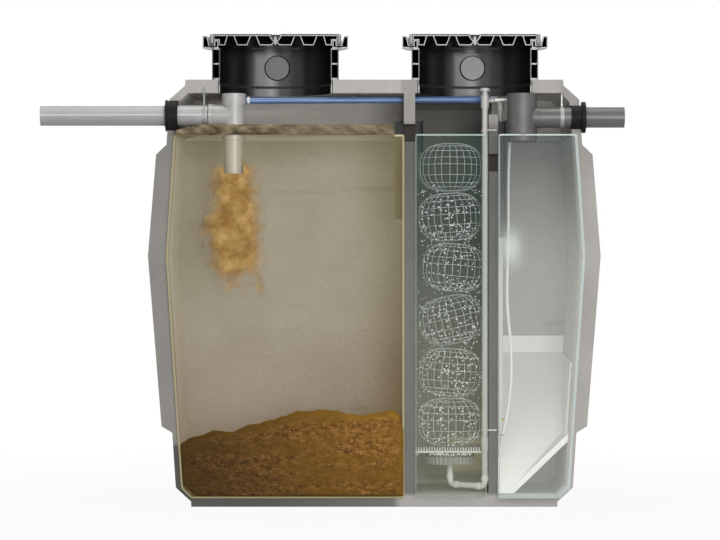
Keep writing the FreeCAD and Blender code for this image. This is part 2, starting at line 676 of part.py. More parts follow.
def grate():
    x0, x1 = FIRST_X + FIRST_THICK, SECOND_X
    back = GRATE_FRONT + GRATE_DEPTH
    bars = [box(x0, x1, d, d + GRATE_TIE, GRATE_Z, GRATE_Z + GRATE_TIE)
            for d in (GRATE_FRONT, GRATE_FRONT + GRATE_DEPTH / 2, back - GRATE_TIE)]
    count = int((x1 - x0 - GRATE_BAR) // GRATE_PITCH)
    margin = (x1 - x0 - GRATE_BAR - count * GRATE_PITCH) / 2
    for i in range(count + 1):
        x = x0 + margin + i * GRATE_PITCH
        bars.append(box(x, x + GRATE_BAR, GRATE_FRONT, back, GRATE_Z, GRATE_Z + GRATE_HEIGHT))
    return fused(bars)


def grate_cleats():
    cleats = []
    for x in (FIRST_X + FIRST_THICK, SECOND_X - CLEAT):
        d = GRATE_FRONT + GRATE_DEPTH / 4
        cleats.append(box(x, x + CLEAT, d, d + GRATE_DEPTH / 2, GRATE_Z - CLEAT, GRATE_Z))
    return Part.makeCompound(cleats)


def ball_outline(tilt):
    """Side view of a tilted ball about its own centre, as (x, z) points."""
    side = [(r, h * BALL_HEIGHT / 2) for r, h in BALL_SIDE]
    points = side + [(-r, z) for r, z in side[::-1]]
    c, s = math.cos(math.radians(tilt)), math.sin(math.radians(tilt))
    return [(x * c + z * s, z * c - x * s) for x, z in points]


def reach(points, x, pick):
    """Highest (max) or lowest (min) z of a closed convex outline over x, or None."""
    hits = []
    for (x0, z0), (x1, z1) in zip(points, points[1:] + points[:1]):
        if min(x0, x1) <= x <= max(x0, x1):
            hits.append(pick(z0, z1) if x0 == x1 else z0 + (z1 - z0) * (x - x0) / (x1 - x0))
    return pick(hits) if hits else None


def ball_centres():
    """Centre heights with each ball lowered onto the one under it."""
    heights = []
    for x, tilt in BALLS:
        outline = [(x + px, pz) for px, pz in ball_outline(tilt)]
        if not heights:
            z = GRATE_Z + GRATE_HEIGHT - min(pz for px, pz in outline)
        else:
            lifts = []
            for px in [p[0] for p in outline + under]:
                low, high = reach(outline, px, min), reach(under, px, max)
                if low is not None and high is not None:
                    lifts.append(high - low)
            z = heights[-1] + max(lifts)
        heights.append(z)
        under = outline
    return heights


def net_ball():
    half = BALL_HEIGHT / 2
    side = [(r, h * half) for r, h in BALL_SIDE]
    loop = [Vector(r, 0, z) for r, z in side] + [Vector(-r, 0, z) for r, z in side[::-1]]
    wire = Part.makePolygon(loop + loop[:1])
    plate = Part.Face(wire).cut(Part.Face(wire.makeOffset2D(-BALL_BAR)))
    plate = plate.extrude(Vector(0, BALL_BAR, 0))
    plate.translate(Vector(0, -BALL_BAR / 2, 0))
    bars = []
    for i in range(BALL_MERIDIANS // 2):
        bar = plate.copy()
        bar.rotate(Vector(0, 0, 0), Vector(0, 0, 1), i * 360.0 / BALL_MERIDIANS)
        bars.append(bar)
    ring_height = BALL_BAR - 2 * BALL_INSET
    for r, z in side:
        middle = max(BALL_BAR / 2 - half, min(half - BALL_BAR / 2, z))
        rings = []
        for ring_r in (r - BALL_INSET, r - BALL_BAR + BALL_INSET):
            angles = [2 * math.pi * i / BALL_MERIDIANS for i in range(BALL_MERIDIANS)]
            rings.append(face([Vector(ring_r * math.cos(a), ring_r * math.sin(a), middle - ring_height / 2)
                               for a in angles]))
        bars.append(rings[0].cut(rings[1]).extrude(Vector(0, 0, ring_height)))
    return fused(bars)


# Sludge return and hose
RETURN_START = at(INLET_TEE_X + TEE_RIM_R + FIT, RETURN_DEPTH, AIRLIFT_TOP - RETURN_FALL)
HEADING = (at(INLET_TEE_X, RETURN_DEPTH, 0) - at(AIRLIFT_X, AIRLIFT_DEPTH, 0)).normalize()
RETURN_END = at(AIRLIFT_X, AIRLIFT_DEPTH, AIRLIFT_TOP) + HEADING * (AIRLIFT_BEND + AIRLIFT_REACH)
HOSE_LEAD = Vector(0.83, 0.50, 0.14).normalize()
HOSE_ROOT = at(AIR_X, AIR_DEPTH, AIR_TEE_LOW + AIR_TEE_HEIGHT / 2)
NIPPLE_ROOT = at(AIRLIFT_X, AIRLIFT_DEPTH, NIPPLE_Z)


def hose_line():
    """Points of the hose from the air tee, down beside the partition, to the airlift."""
    points = [HOSE_ROOT + HOSE_LEAD * HOSE_START, HOSE_ROOT + HOSE_LEAD * HOSE_FIRST]
    for x, depth, share in HOSE_BENDS + [HOSE_END]:
        points.append(at(SECOND_X + x, depth, NIPPLE_Z + share * (HOSE_ROOT.z - NIPPLE_Z)))
    return points


HOSE = hose_line()


def return_pipe():
    along = (RETURN_END - RETURN_START).normalize()
    sleeve = [RETURN_START + along * (SECOND_X - lead - RETURN_START.x) for lead in RETURN_COUPLING]
    nut = [RETURN_START + along * run for run in RETURN_NUT_RUN]
    body = fused([rod(RETURN_R, RETURN_START, RETURN_END), rod(RETURN_R + RETURN_SLEEVE, *sleeve),
                  rod(RETURN_R + RETURN_NUT, *nut)])
    return body.cut(rod(RETURN_R - RETURN_WALL, RETURN_START, RETURN_END))


def airlift():
    low = at(AIRLIFT_X, AIRLIFT_DEPTH, AIRLIFT_LOW)
    corner = at(AIRLIFT_X, AIRLIFT_DEPTH, AIRLIFT_TOP)
    bend = at(AIRLIFT_X, AIRLIFT_DEPTH, AIRLIFT_TOP - AIRLIFT_BEND - AIRLIFT_LEG)
    elbow = swept(AIRLIFT_ELBOW_R, [bend, corner, RETURN_END], lambda run, half: AIRLIFT_BEND)
    collar = rod(AIRLIFT_ELBOW_R + AIRLIFT_COLLAR_RISE, bend, bend + Vector(0, 0, AIRLIFT_COLLAR))
    knee = HOSE[-1] + (HOSE[-1] - HOSE[-2]).normalize() * NIPPLE_LEG
    nipple = swept(NIPPLE_R, [NIPPLE_ROOT, knee, HOSE[-1]], lambda run, half: NIPPLE_BEND)
    body = fused([rod(AIRLIFT_R, low, bend), elbow, collar, nipple])
    return body.cut(rod(AIRLIFT_R - RETURN_WALL, low - Vector(0, 0, OVERSHOOT), bend))


def hose():
    return swept(HOSE_R, HOSE, lambda run, half: 0.45 * run / math.tan(half))


# Hopper
def hopper_region(back):
    """Everything under the upper face of the end slope or of the back slope."""
    rise = math.tan(math.radians(HOPPER_SLOPE))
    if back:
        top = [(0.0, FLOOR + HOPPER_PLATE), (FAR, FLOOR + HOPPER_PLATE + FAR * back_rise())]
        side = [at(0, d, z) for d, z in top] + [at(0, FAR, -FAR), at(0, 0, -FAR)]
        return face(side).extrude(Vector(FAR, 0, 0))
    start = SECOND_X + SECOND_THICK + HOPPER_FLOOR
    side = [at(start, 0, FLOOR + HOPPER_PLATE), at(start + FAR, 0, FLOOR + HOPPER_PLATE + FAR * rise),
            at(start + FAR, 0, -FAR), at(start, 0, -FAR)]
    return face(side).extrude(Vector(0, FAR, 0))


def back_rise():
    return (HOPPER_BAND_Z - FLOOR - HOPPER_PLATE) / (inner_half(HOPPER_BAND_Z) - CORNER - HOPPER_PLATE)


def hopper_mitre():
    """Plan region where the end slope is higher than the back slope."""
    start = SECOND_X + SECOND_THICK + HOPPER_FLOOR
    lead = math.tan(math.radians(HOPPER_SLOPE)) / back_rise()
    plan = [at(start, 0, 0), at(start + FAR, 0, 0), at(start + FAR, FAR * lead, 0)]
    return face(plan).extrude(Vector(0, 0, TANK_HEIGHT))


def hopper_slab(back, drop):
    under = hopper_region(back)
    lowered = under.copy()
    lowered.translate(Vector(0, 0, -drop))
    space = cavity().common(box(SECOND_X + SECOND_THICK, FAR, 0, FAR, 0, HOPPER_BAND_Z))
    return under.cut(lowered).common(space)


def hopper_skirt():
    depth = inner_half(HOPPER_BAND_Z) - CORNER
    side = face([at(SECOND_X, SKIRT_FRONT, 0), at(SECOND_X, depth, 0), at(SECOND_X, depth, HOPPER_BAND_Z),
                 at(SECOND_X, SKIRT_FRONT, HOPPER_BAND_Z - SKIRT_FALL)]).extrude(Vector(FAR, 0, 0))
    lining = cavity().cut(cavity(SKIRT_THICK)).common(side)
    return lining.cut(hopper_region(False)).cut(hopper_region(True))


def hopper_end():
    slope = hopper_slab(False, HOPPER_PLATE / math.cos(math.radians(HOPPER_SLOPE))).common(hopper_mitre())
    return slope.fuse(hopper_skirt()).removeSplitter()


def hopper_back():
    slope = hopper_slab(True, HOPPER_PLATE * math.hypot(1, back_rise())).cut(hopper_mitre())
    high = HOPPER_BAND_Z + HOPPER_BAND
    band = cavity().common(box(SECOND_X + SECOND_THICK, FAR, 0, FAR, HOPPER_BAND_Z, high))
    inset = inner_half(HOPPER_BAND_Z) - CORNER - HOPPER_PLATE
    band = band.cut(box(0, FAR, -OVERSHOOT, inset, 0, TANK_HEIGHT))
    return slope.fuse(band).removeSplitter()


def sludge():
    curve = Part.BSplineCurve()
    curve.interpolate([at(FIRST_X - share * SLUDGE_RUN, 0, FLOOR + z) for share, z in SLUDGE_TOP])
    first, last = curve.StartPoint, curve.EndPoint
    low = [Vector(last.x, last.y, FLOOR), Vector(first.x, first.y, FLOOR)]
    edges = [curve.toShape(), Part.makeLine(last, low[0]), Part.makeLine(low[0], low[1]),
             Part.makeLine(low[1], first)]
    bed = Part.Face(Part.Wire(edges)).extrude(Vector(0, FAR, 0))
    return bed.common(cavity(SLUDGE_GAP))


def scum():
    """Floating crust between the inlet wall and the baffle, clear of the inlet tee and pipe."""
    right = FIRST_X - BAFFLE_GAP
    left = -inner_half(SCUM_Z)
    top = [at(right - share * (right - left), -SCUM_FRONT, SCUM_Z + h) for share, h in SCUM_TOP]
    low = [at(left, -SCUM_FRONT, SCUM_Z), at(right, -SCUM_FRONT, SCUM_Z)]
    crust = face(low + top).extrude(Vector(0, FAR, 0))
    front = box(left, right, -SCUM_FRONT, 0, 0, TANK_HEIGHT)
    crust = crust.common(front.fuse(cavity()))
    crust = crust.cut(rod(TEE_RIM_R + SCUM_GAP, at(INLET_TEE_X, 0, TEE_LOW_Z), at(INLET_TEE_X, 0, CEILING)))
    return crust.cut(rod(TEE_RIM_R + SCUM_GAP, at(-FAR, 0, INLET_Z), at(INLET_TEE_X, 0, INLET_Z)))


NODES = {
    "base_slab": tiers([(FOOT_HALF, 0), (FOOT_HALF, FOOT_LIP), (foot_half(FLOOR), FLOOR)]),
    "back_wall": back_wall(),
    "inlet_end_wall": end_wall(-1, INLET_Z, INLET_GASKET_R),
    "outlet_end_wall": end_wall(1, OUTLET_Z, OUTLET_GASKET_R),
    "roof_slab": roof(),
    "first_partition": first_partition(),
    "second_partition": second_partition(),
    "settling_baffle": baffle(FIRST_X, -1, FIRST_WINDOW_Z - SETTLING_BAFFLE_DIP),
    "reactor_baffle": baffle(FIRST_X + FIRST_THICK, 1, FIRST_WINDOW_Z - REACTOR_BAFFLE_DIP),
    "clarifier_baffle": baffle(SECOND_X + SECOND_THICK, 1, SECOND_WINDOW_Z - CLARIFIER_BAFFLE_DIP),
    "inlet_riser": riser(INLET_RISER_X),
    "outlet_riser": riser(OUTLET_RISER_X),
    "inlet_riser_seal": seal(INLET_RISER_X),
    "outlet_riser_seal": seal(OUTLET_RISER_X),
    "inlet_lid_frame": lid_frame(INLET_RISER_X),
    "outlet_lid_frame": lid_frame(OUTLET_RISER_X),
    "inlet_lid": lid(INLET_RISER_X),
    "outlet_lid": lid(OUTLET_RISER_X),
    "inlet_pipe": drain_pipe(INLET_Z, INLET_SOCKET_X + SOCKET_DEPTH, INLET_END,
                             -gasket_end(INLET_Z, INLET_LIP_R) - GASKET_LIP),
    "inlet_gasket": gasket(-1, INLET_Z, INLET_GASKET_R, INLET_LIP_R, GASKET_LIP),
    "inlet_tee": inlet_tee(),
    "inlet_dip_pipe": dip_pipe(),
    "inlet_hanger": hanger(0),
    "outlet_pipe": drain_pipe(OUTLET_Z, OUTLET_SOCKET_X - SOCKET_DEPTH, OUTLET_END,
                              gasket_end(OUTLET_Z, OUTLET_LIP_R) + OUTLET_LIP),
    "outlet_gasket": gasket(1, OUTLET_Z, OUTLET_GASKET_R, OUTLET_LIP_R, OUTLET_LIP),
    "outlet_tee": outlet_tee(),
    "outlet_hanger": hanger(1),
    "air_pipe": air_pipe(),
    "air_tee": air_tee(),
    "air_feed": air_feed(),
    "air_pipe_clips": air_clips(),
    "diffuser_base": diffuser(),
    "diffuser_membrane": membrane(),
    "media_grate": grate(),
    "grate_cleats": grate_cleats(),
    "return_pipe": return_pipe(),
    "airlift_pipe": airlift(),
    "airlift_hose": hose(),
    "hopper_end_plate": hopper_end(),
    "hopper_back_plate": hopper_back(),
    "settled_sludge": sludge(),
    "floating_scum": scum(),
}

BALL = net_ball()
for number, ((sideways, tilt), ball_z) in enumerate(zip(BALLS, ball_centres()), 1):
    copy = BALL.copy()
    copy.rotate(Vector(0, 0, 0), Vector(0, 1, 0), tilt)
    copy.translate(at(DIFFUSER_X + sideways, MEDIA_DEPTH, ball_z))
    NODES["net_ball_%d" % number] = copy

os.makedirs("parts", exist_ok=True)
for name, shape in NODES.items():
    shape.exportStep("parts/%s.step" % name)
    print(name, shape.ShapeType, shape.isValid(), len(shape.Solids), round(shape.Volume / 1e6, 3))
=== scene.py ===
import math
import random

import bmesh
import bpy
from mathutils import Matrix, Vector, noise


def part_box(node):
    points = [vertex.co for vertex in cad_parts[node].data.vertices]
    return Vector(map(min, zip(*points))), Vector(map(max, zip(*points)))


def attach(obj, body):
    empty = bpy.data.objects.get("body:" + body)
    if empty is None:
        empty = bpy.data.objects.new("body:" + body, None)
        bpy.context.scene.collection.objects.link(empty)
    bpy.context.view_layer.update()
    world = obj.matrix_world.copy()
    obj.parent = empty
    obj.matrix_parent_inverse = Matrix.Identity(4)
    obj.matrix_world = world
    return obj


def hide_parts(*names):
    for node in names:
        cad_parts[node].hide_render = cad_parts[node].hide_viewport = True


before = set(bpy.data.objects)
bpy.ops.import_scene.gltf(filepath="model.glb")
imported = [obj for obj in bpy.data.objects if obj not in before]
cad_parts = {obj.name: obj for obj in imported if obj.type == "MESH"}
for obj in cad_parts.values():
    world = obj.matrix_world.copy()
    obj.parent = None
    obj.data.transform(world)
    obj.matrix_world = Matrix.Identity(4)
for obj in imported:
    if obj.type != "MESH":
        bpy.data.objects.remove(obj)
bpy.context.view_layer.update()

# Sizes in metres, in the frame of the part: X from inlet to outlet, Y back from the cut, Z up
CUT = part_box("base_slab")[0].y
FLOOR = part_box("base_slab")[1].z
HEEL = 0.050
WAIST = 1.339
SHOULDER = 2.165
INNER_WAIST = 1.097
INNER_DRAFT = 0.0655
INNER_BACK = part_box("first_partition")[1].y
FIRST_LEFT, FIRST_RIGHT = (corner.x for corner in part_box("first_partition"))
SECOND_LEFT, SECOND_RIGHT = (corner.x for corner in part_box("second_partition"))
WATER_TOP = 1.988
WATER_LINE = (1.985, 1.995)

# Eye of the photo, level and square to the cut
EYE_AWAY = 13.2
EYE = Vector((-0.0764, CUT - EYE_AWAY, 1.2645))
LENS_MM = 123.6
SENSOR_MM = 36.0


def middle_x(name):
    """Middle of a node along the tank."""
    return sum(corner.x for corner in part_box(name)) / 2


RISER_MIDDLES = [middle_x("inlet_riser"), middle_x("outlet_riser")]
DIP_MIDDLE = middle_x("inlet_dip_pipe")
DIP_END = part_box("inlet_dip_pipe")[0].z
INLET_AXIS = 2.089
INLET_HIGHLIGHT = 2.0905

# Stretch of a grain along an axis
EVEN = (1.0, 1.0, 1.0)
ALONG_X = (0.05, 1.0, 1.0)
ALONG_Z = (1.0, 1.0, 0.05)

# Inflow cloud: halves are (share of its height, half width)
INFLOW_X = -0.744
INFLOW_DRIFT = 0.024
INFLOW_RISE = (1.09, 1.85)
INFLOW_DRIFT_RISE = (1.18, 1.38)
INFLOW_HALVES = ((0.0, 0.120), (0.19, 0.122), (0.34, 0.152), (0.51, 0.164), (0.69, 0.146), (0.86, 0.128),
                 (1.0, 0.112))

# Net balls; the first one stands upright, so its box gives their size
BALL_R, _, BALL_HALF = (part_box("net_ball_1")[1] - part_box("net_ball_1")[0]) / 2
BALL_CAP_R = 0.012
BALL_FULLNESS = 2.6
BALL_TILTS = (0, 4, -13, 5, -4, 0)


def at(x, depth, z):
    """Point at a depth behind the cut."""
    return Vector((x, CUT + depth, z))


def inner_half(z):
    """Half length of the tank inside at a height."""
    return INNER_WAIST - INNER_DRAFT * abs(z - WAIST)


def srgb(r, g, b):
    """Linear colour of a value read as 0 to 255."""
    linear = [c / 3294.6 if c < 10.4 else ((c / 255 + 0.055) / 1.055) ** 2.4 for c in (r, g, b)]
    return (*linear, 1.0)


def grey(value):
    return (value, value, value, 1.0)


def eased(share):
    """Share from 0 to 1 with soft ends."""
    share = max(0.0, min(1.0, share))
    return share * share * (3 - 2 * share)


# Painted shade on the cut face of the concrete
CUT_SHADE = srgb(70, 68, 64)
PALE_SHARE, DARK_SHARE = grey(0.7), grey(0.3)


# Camera and hose

def make_camera():
    data = bpy.data.cameras.new("camera")
    data.lens = LENS_MM
    data.sensor_width = SENSOR_MM
    camera = bpy.data.objects.new("camera", data)
    camera.location = EYE
    camera.rotation_euler = (math.pi / 2, 0, 0)
    bpy.context.collection.objects.link(camera)
    bpy.context.scene.camera = camera


HOSE_R = 0.0085


def hose_points():
    """Run of the air hose, as in the part's source."""
    root = at(0.5912, 0.020, 2.1645)
    lead = Vector((0.83, 0.50, 0.14)).normalized()
    points = [root + lead * 0.040, root + lead * 0.102]
    for x, depth, z in ((0.742, 0.108, 2.180), (0.735, 0.113, 2.060), (0.721, 0.112, 1.776),
                        (0.723, 0.114, 1.540), (0.719, 0.116, 1.308), (0.713, 0.120, 1.085),
                        (0.738, 0.126, 0.868), (0.741, 0.130, 0.680), (0.723, 0.128, 0.510),
                        (0.690, 0.123, 0.366)):
        points.append(at(x, depth, z))
    return points


def make_hose(material):
    points = hose_points()
    curve = bpy.data.curves.new("air_hose", "CURVE")
    curve.dimensions = "3D"
    curve.bevel_depth = HOSE_R
    curve.bevel_resolution = 4
    curve.resolution_u = 12
    curve.use_fill_caps = True
    spline = curve.splines.new("NURBS")
    spline.points.add(len(points) - 1)
    for place, point in zip(spline.points, points):
        place.co = (*point, 1.0)
    spline.order_u = 3
    spline.use_endpoint_u = True
    curve.materials.append(material)
    hose = bpy.data.objects.new("air_hose", curve)
    bpy.context.collection.objects.link(hose)
    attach(hose, "root")
    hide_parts("airlift_hose")


# Node helpers

def fill(tree, node, values):
    """Links sockets to a node's inputs and sets plain values on the others."""
    for key, value in values.items():
        if isinstance(value, bpy.types.NodeSocket):
            tree.links.new(value, node.inputs[key])
        else:
            node.inputs[key].default_value = value


def add_node(tree, kind, values=None, **settings):
    node = tree.nodes.new(kind)
    for key, value in settings.items():
        setattr(node, key, value)
    fill(tree, node, values or {})
    return node


# Materials

class Finish:
    """A shader with the nodes that give a finish its detail."""

    def __init__(self, name, roughness, specular=0.5):
        self.material = bpy.data.materials.new(name)
        self.material.use_nodes = True
        self.tree = self.material.node_tree
        self.shader = self.tree.nodes["Principled BSDF"]
        self.set("Roughness", roughness)
        self.set("Specular IOR Level", specular)
        self.place = self.add("ShaderNodeTexCoord").outputs["Object"]
        self.x, self.y, self.z = self.add("ShaderNodeSeparateXYZ", {0: self.place}).outputs

    def add(self, kind, values=None, **settings):
        return add_node(self.tree, kind, values, **settings)

    def set(self, name, value):
        fill(self.tree, self.shader, {name: value})

    def colour(self, value):
        self.set("Base Color", value)

    def grain(self, scale, detail=3.0, roughness=0.55, stretch=EVEN):
        """Noise from 0 to 1; a stretch under 1 draws it out along that axis."""
        place = self.add("ShaderNodeMapping", {0: self.place, "Scale": stretch}).outputs[0]
        values = {"Vector": place, "Scale": scale, "Detail": detail, "Roughness": roughness}
        return self.add("ShaderNodeTexNoise", values).outputs[0]

    def cells(self, scale):
        """Distance to the nearest of many scattered points."""
        values = {"Vector": self.place, "Scale": scale}
        return self.add("ShaderNodeTexVoronoi", values, feature="F1").outputs["Distance"]

    def ramp(self, factor, *stops):
        node = self.add("ShaderNodeValToRGB", {0: factor})
        elements = node.color_ramp.elements
        elements.remove(elements[1])
        elements[0].position, elements[0].color = stops[0]
        for position, colour in stops[1:]:
            elements.new(position).color = colour
        return node.outputs[0]

    def mottle(self, factor, dark, light):
        """Noise as a change between two colours."""
        return self.ramp(factor, (0.3, dark), (0.7, light))

    def between(self, value, low, high):
        """Soft step from 0 at the first bound to 1 at the second."""
        values = {"Value": value, "From Min": low, "From Max": high}
        return self.add("ShaderNodeMapRange", values, interpolation_type="SMOOTHSTEP").outputs[0]

    def band(self, value, rise, fall):
        """1 from a soft rise to a soft fall, 0 outside them."""
        return self.product(self.between(value, *rise), self.between(value, *fall))

    def span(self, value, low, high, soft):
        """1 from low to high, with soft edges outside them."""
        return self.band(value, (low - soft, low), (high + soft, high))

    def work(self, operation, a, b=0.0):
        return self.add("ShaderNodeMath", {0: a, 1: b}, operation=operation).outputs[0]

    def apart(self, value, middle):
        """Distance of a value from a middle."""
        return self.work("ABSOLUTE", self.work("SUBTRACT", value, middle))

    def product(self, first, *rest):
        for value in rest:
            first = self.work("MULTIPLY", first, value)
        return first

    def mix(self, factor, a, b, blend="MIX"):
        values = {0: factor, 6: a, 7: b}
        return self.add("ShaderNodeMix", values, data_type="RGBA", blend_type=blend).outputs[2]

    def relief(self, height, distance, strength=0.6):
        values = {"Height": height, "Distance": distance, "Strength": strength}
        self.set("Normal", self.add("ShaderNodeBump", values).outputs[0])


def cast_surface(finish):
    """Pale concrete with clouds, a fine grain and pores."""
    fine = finish.grain(120, 3.0, 0.7)
    colour = finish.mottle(finish.grain(2.2, 5.0, 0.6), srgb(165, 162, 157), srgb(183, 180, 175))
    colour = finish.mix(0.30, colour, finish.mottle(fine, grey(0.33), grey(0.66)), "OVERLAY")
    pore = finish.between(finish.cells(38), 0.16, 0.05)
    rare = finish.between(finish.grain(9, 2.0), 0.52, 0.66)
    finish.relief(finish.work("ADD", fine, finish.product(pore, -0.8)), 0.002, 0.25)
    return finish.mix(finish.product(pore, rare), colour, srgb(84, 81, 76))


def shade_cut_face(finish, colour):
    """Cut face with painted shade: on the inlet end wall below the roof, on the upper outlet end wall, along
    the floor, darkest towards the inlet, and on the partitions, lighter over the water.
    """
    x, y, z = finish.x, finish.y, finish.z
    front = finish.between(y, CUT + 0.006, CUT + 0.002)
    # Painted shade on the inlet end wall below the roof
    left = finish.product(front, finish.between(x, -0.98, -1.02), finish.between(z, 2.20, 1.95), 0.53)
    colour = finish.mix(left, colour, srgb(104, 101, 96))
    # Painted shade on the upper part of the outlet end wall
    right = finish.product(front, finish.between(x, 0.98, 1.02), finish.between(z, 1.30, 2.00), 0.22)
    colour = finish.mix(right, colour, CUT_SHADE)
    # Painted shade along the floor slab, darkest towards the inlet
    low = finish.product(front, finish.between(z, 0.345, 0.315), finish.between(x, 0.15, 0.09), 0.92)
    floor_shade = finish.mix(finish.between(x, -0.70, 0.12), srgb(84, 82, 78), srgb(116, 113, 108))
    colour = finish.mix(low, colour, floor_shade)
    # Painted shade on the partitions, lighter over the water
    partitions = finish.span(x, FIRST_LEFT - 0.008, SECOND_RIGHT + 0.009, 0.020)
    partition_shade = finish.product(front, partitions, finish.between(z, 0.05, 0.08))
    low_partition_shade, high_partition_shade, over_water_partition_shade = (finish.mix(share, colour, CUT_SHADE) for share in (0.64, 0.78, 0.28))
    painted_shade = finish.mix(finish.between(z, 1.0, 1.9), low_partition_shade, high_partition_shade)
    painted_shade = finish.mix(finish.between(z, 2.00, 2.07), painted_shade, over_water_partition_shade)
    return finish.mix(partition_shade, colour, painted_shade)


def shade_inside(finish, colour):
    """Inner faces: painted light over the water and on the end walls, painted shade in the reactor and the
    windows, a pale yellow patch behind the diffuser pushed near white as painted light, and stains.
    """
    x, y, z = finish.x, finish.y, finish.z
    lean = finish.product(finish.apart(z, WAIST), INNER_DRAFT)
    shoulder = finish.product(finish.work("MAXIMUM", finish.work("SUBTRACT", z, SHOULDER), 0.0), 1.1)
    lean = finish.work("ADD", lean, shoulder)
    depth = finish.work("ADD", y, lean)
    length = finish.work("ADD", finish.work("ABSOLUTE", x), lean)
    inside = finish.product(finish.between(y, CUT + 0.005, CUT + 0.03),
                            finish.between(depth, INNER_BACK + 0.026, INNER_BACK + 0.018),
                            finish.between(length, INNER_WAIST + 0.026, INNER_WAIST + 0.018),
                            finish.band(z, (0.085, 0.100), (2.235, 2.228)))
    over_water = finish.between(z, *WATER_LINE)

    # Painted light on the inner faces over the water, where the roof shades them, palest near the roof
    set_back = finish.work("MAXIMUM", finish.between(y, -0.05, 0.0), finish.between(z, 2.145, SHOULDER))
    lit_over_water = finish.product(inside, over_water, set_back)
    light = finish.mix(finish.between(z, 2.150, 2.170), srgb(226, 223, 216), srgb(252, 250, 244))
    colour = finish.mix(finish.product(lit_over_water, 0.85), colour, light)
    # Painted light on the inner faces of the end walls under the water
    end = finish.product(finish.between(length, INNER_WAIST - 0.014, INNER_WAIST - 0.006), inside,
                         finish.between(depth, INNER_BACK - 0.002, INNER_BACK - 0.012),
                         finish.between(z, *reversed(WATER_LINE)))
    colour = finish.mix(finish.product(end, 0.9), colour, srgb(236, 233, 225))

    low_shade = finish.mix(0.35, colour, srgb(108, 110, 96))
    high_shade = finish.mix(0.82, colour, srgb(96, 102, 95))
    shade = finish.mix(finish.between(z, 0.95, 1.75), low_shade, high_shade)
    # A pale yellow patch behind the diffuser, pushed near white as painted light for the dim reactor floor
    submerged_tone = finish.product(finish.between(x, 0.40, 0.46), finish.band(z, (0.12, 0.16), (0.36, 0.29)))
    shade = finish.mix(submerged_tone, shade, srgb(254, 248, 204))
    shade = finish.mix(over_water, shade, srgb(116, 115, 111))
    from_first = finish.between(x, FIRST_LEFT - 0.003, FIRST_LEFT + 0.002)
    to_second = finish.between(x, SECOND_RIGHT + 0.003, SECOND_RIGHT - 0.001)
    reactor = finish.product(inside, from_first, to_second)
    colour = finish.mix(reactor, colour, shade)

    # Painted shade in the windows of the partitions
    first_window = finish.product(finish.span(x, FIRST_LEFT, FIRST_RIGHT + 0.001, 0.003),
                                  finish.band(z, (1.940, 1.946), (2.050, 2.046)))
    second_window = finish.product(finish.span(x, SECOND_LEFT - 0.002, SECOND_RIGHT + 0.003, 0.003),
                                   finish.span(z, 1.790, 1.888, 0.004))
    window_shade = finish.product(inside, finish.work("MAXIMUM", first_window, second_window))
    colour = finish.mix(window_shade, colour, srgb(70, 66, 62))
    stain = finish.between(finish.grain(4.5, 5.0, 0.6, (0.4, 1.0, 2.4)), 0.58, 0.74)
    return finish.mix(finish.product(stain, inside, 0.25), colour, srgb(96, 92, 86))


def make_concrete():
    finish = Finish("cast_concrete", 0.88, 0.2)
    finish.colour(shade_inside(finish, shade_cut_face(finish, cast_surface(finish))))
    return finish.material


BLACK_ROUGHNESS = 0.24


def make_black_plastic():
    """Black moulding, pale where the saw went through its walls and dull in the groove of the neck."""
    finish = Finish("moulded_black_plastic", BLACK_ROUGHNESS, 0.50)
    y, z = finish.y, finish.z
    fine = finish.grain(90, 3.0)
    colour = finish.mottle(fine, srgb(13, 13, 13), srgb(19, 19, 19))
    out = finish.work("MINIMUM", *(finish.apart(finish.x, middle) for middle in RISER_MIDDLES))
    skin = finish.band(z, (2.2810, 2.2816), (2.4500, 2.4494))
    skin = finish.product(skin, finish.between(out, 0.3018, 0.3012))
    rim = finish.band(out, (0.3288, 0.3294), (0.3514, 0.3508))
    rim = finish.product(rim, finish.between(z, 2.5150, 2.5144))
    unsawn = finish.work("MAXIMUM", skin, rim)
    sawn = finish.product(finish.between(y, CUT + 0.0012, CUT + 0.0004), finish.work("SUBTRACT", 1.0, unsawn))
    cut_face = finish.mottle(finish.grain(60, 2.0), srgb(142, 141, 138), srgb(160, 159, 156))
    finish.colour(finish.mix(sawn, colour, cut_face))
    groove = finish.band(z, (2.252, 2.254), (2.268, 2.266))
    finish.set("Roughness", finish.work("ADD", finish.product(groove, 0.45), BLACK_ROUGHNESS))
    finish.relief(fine, 0.0008, 0.2)
    return finish.material


def make_dark_sheet():
    finish = Finish("dark_sheet", 0.5, 0.3)
    finish.colour(finish.mottle(finish.grain(30, 3.0), srgb(22, 21, 20), srgb(30, 29, 27)))
    return finish.material


def make_rubber():
    finish = Finish("rubber", 0.55, 0.12)
    finish.colour(finish.mottle(finish.grain(60, 3.0), srgb(18, 18, 18), srgb(27, 27, 26)))
    finish.relief(finish.grain(200, 2.0), 0.0006, 0.3)
    return finish.material


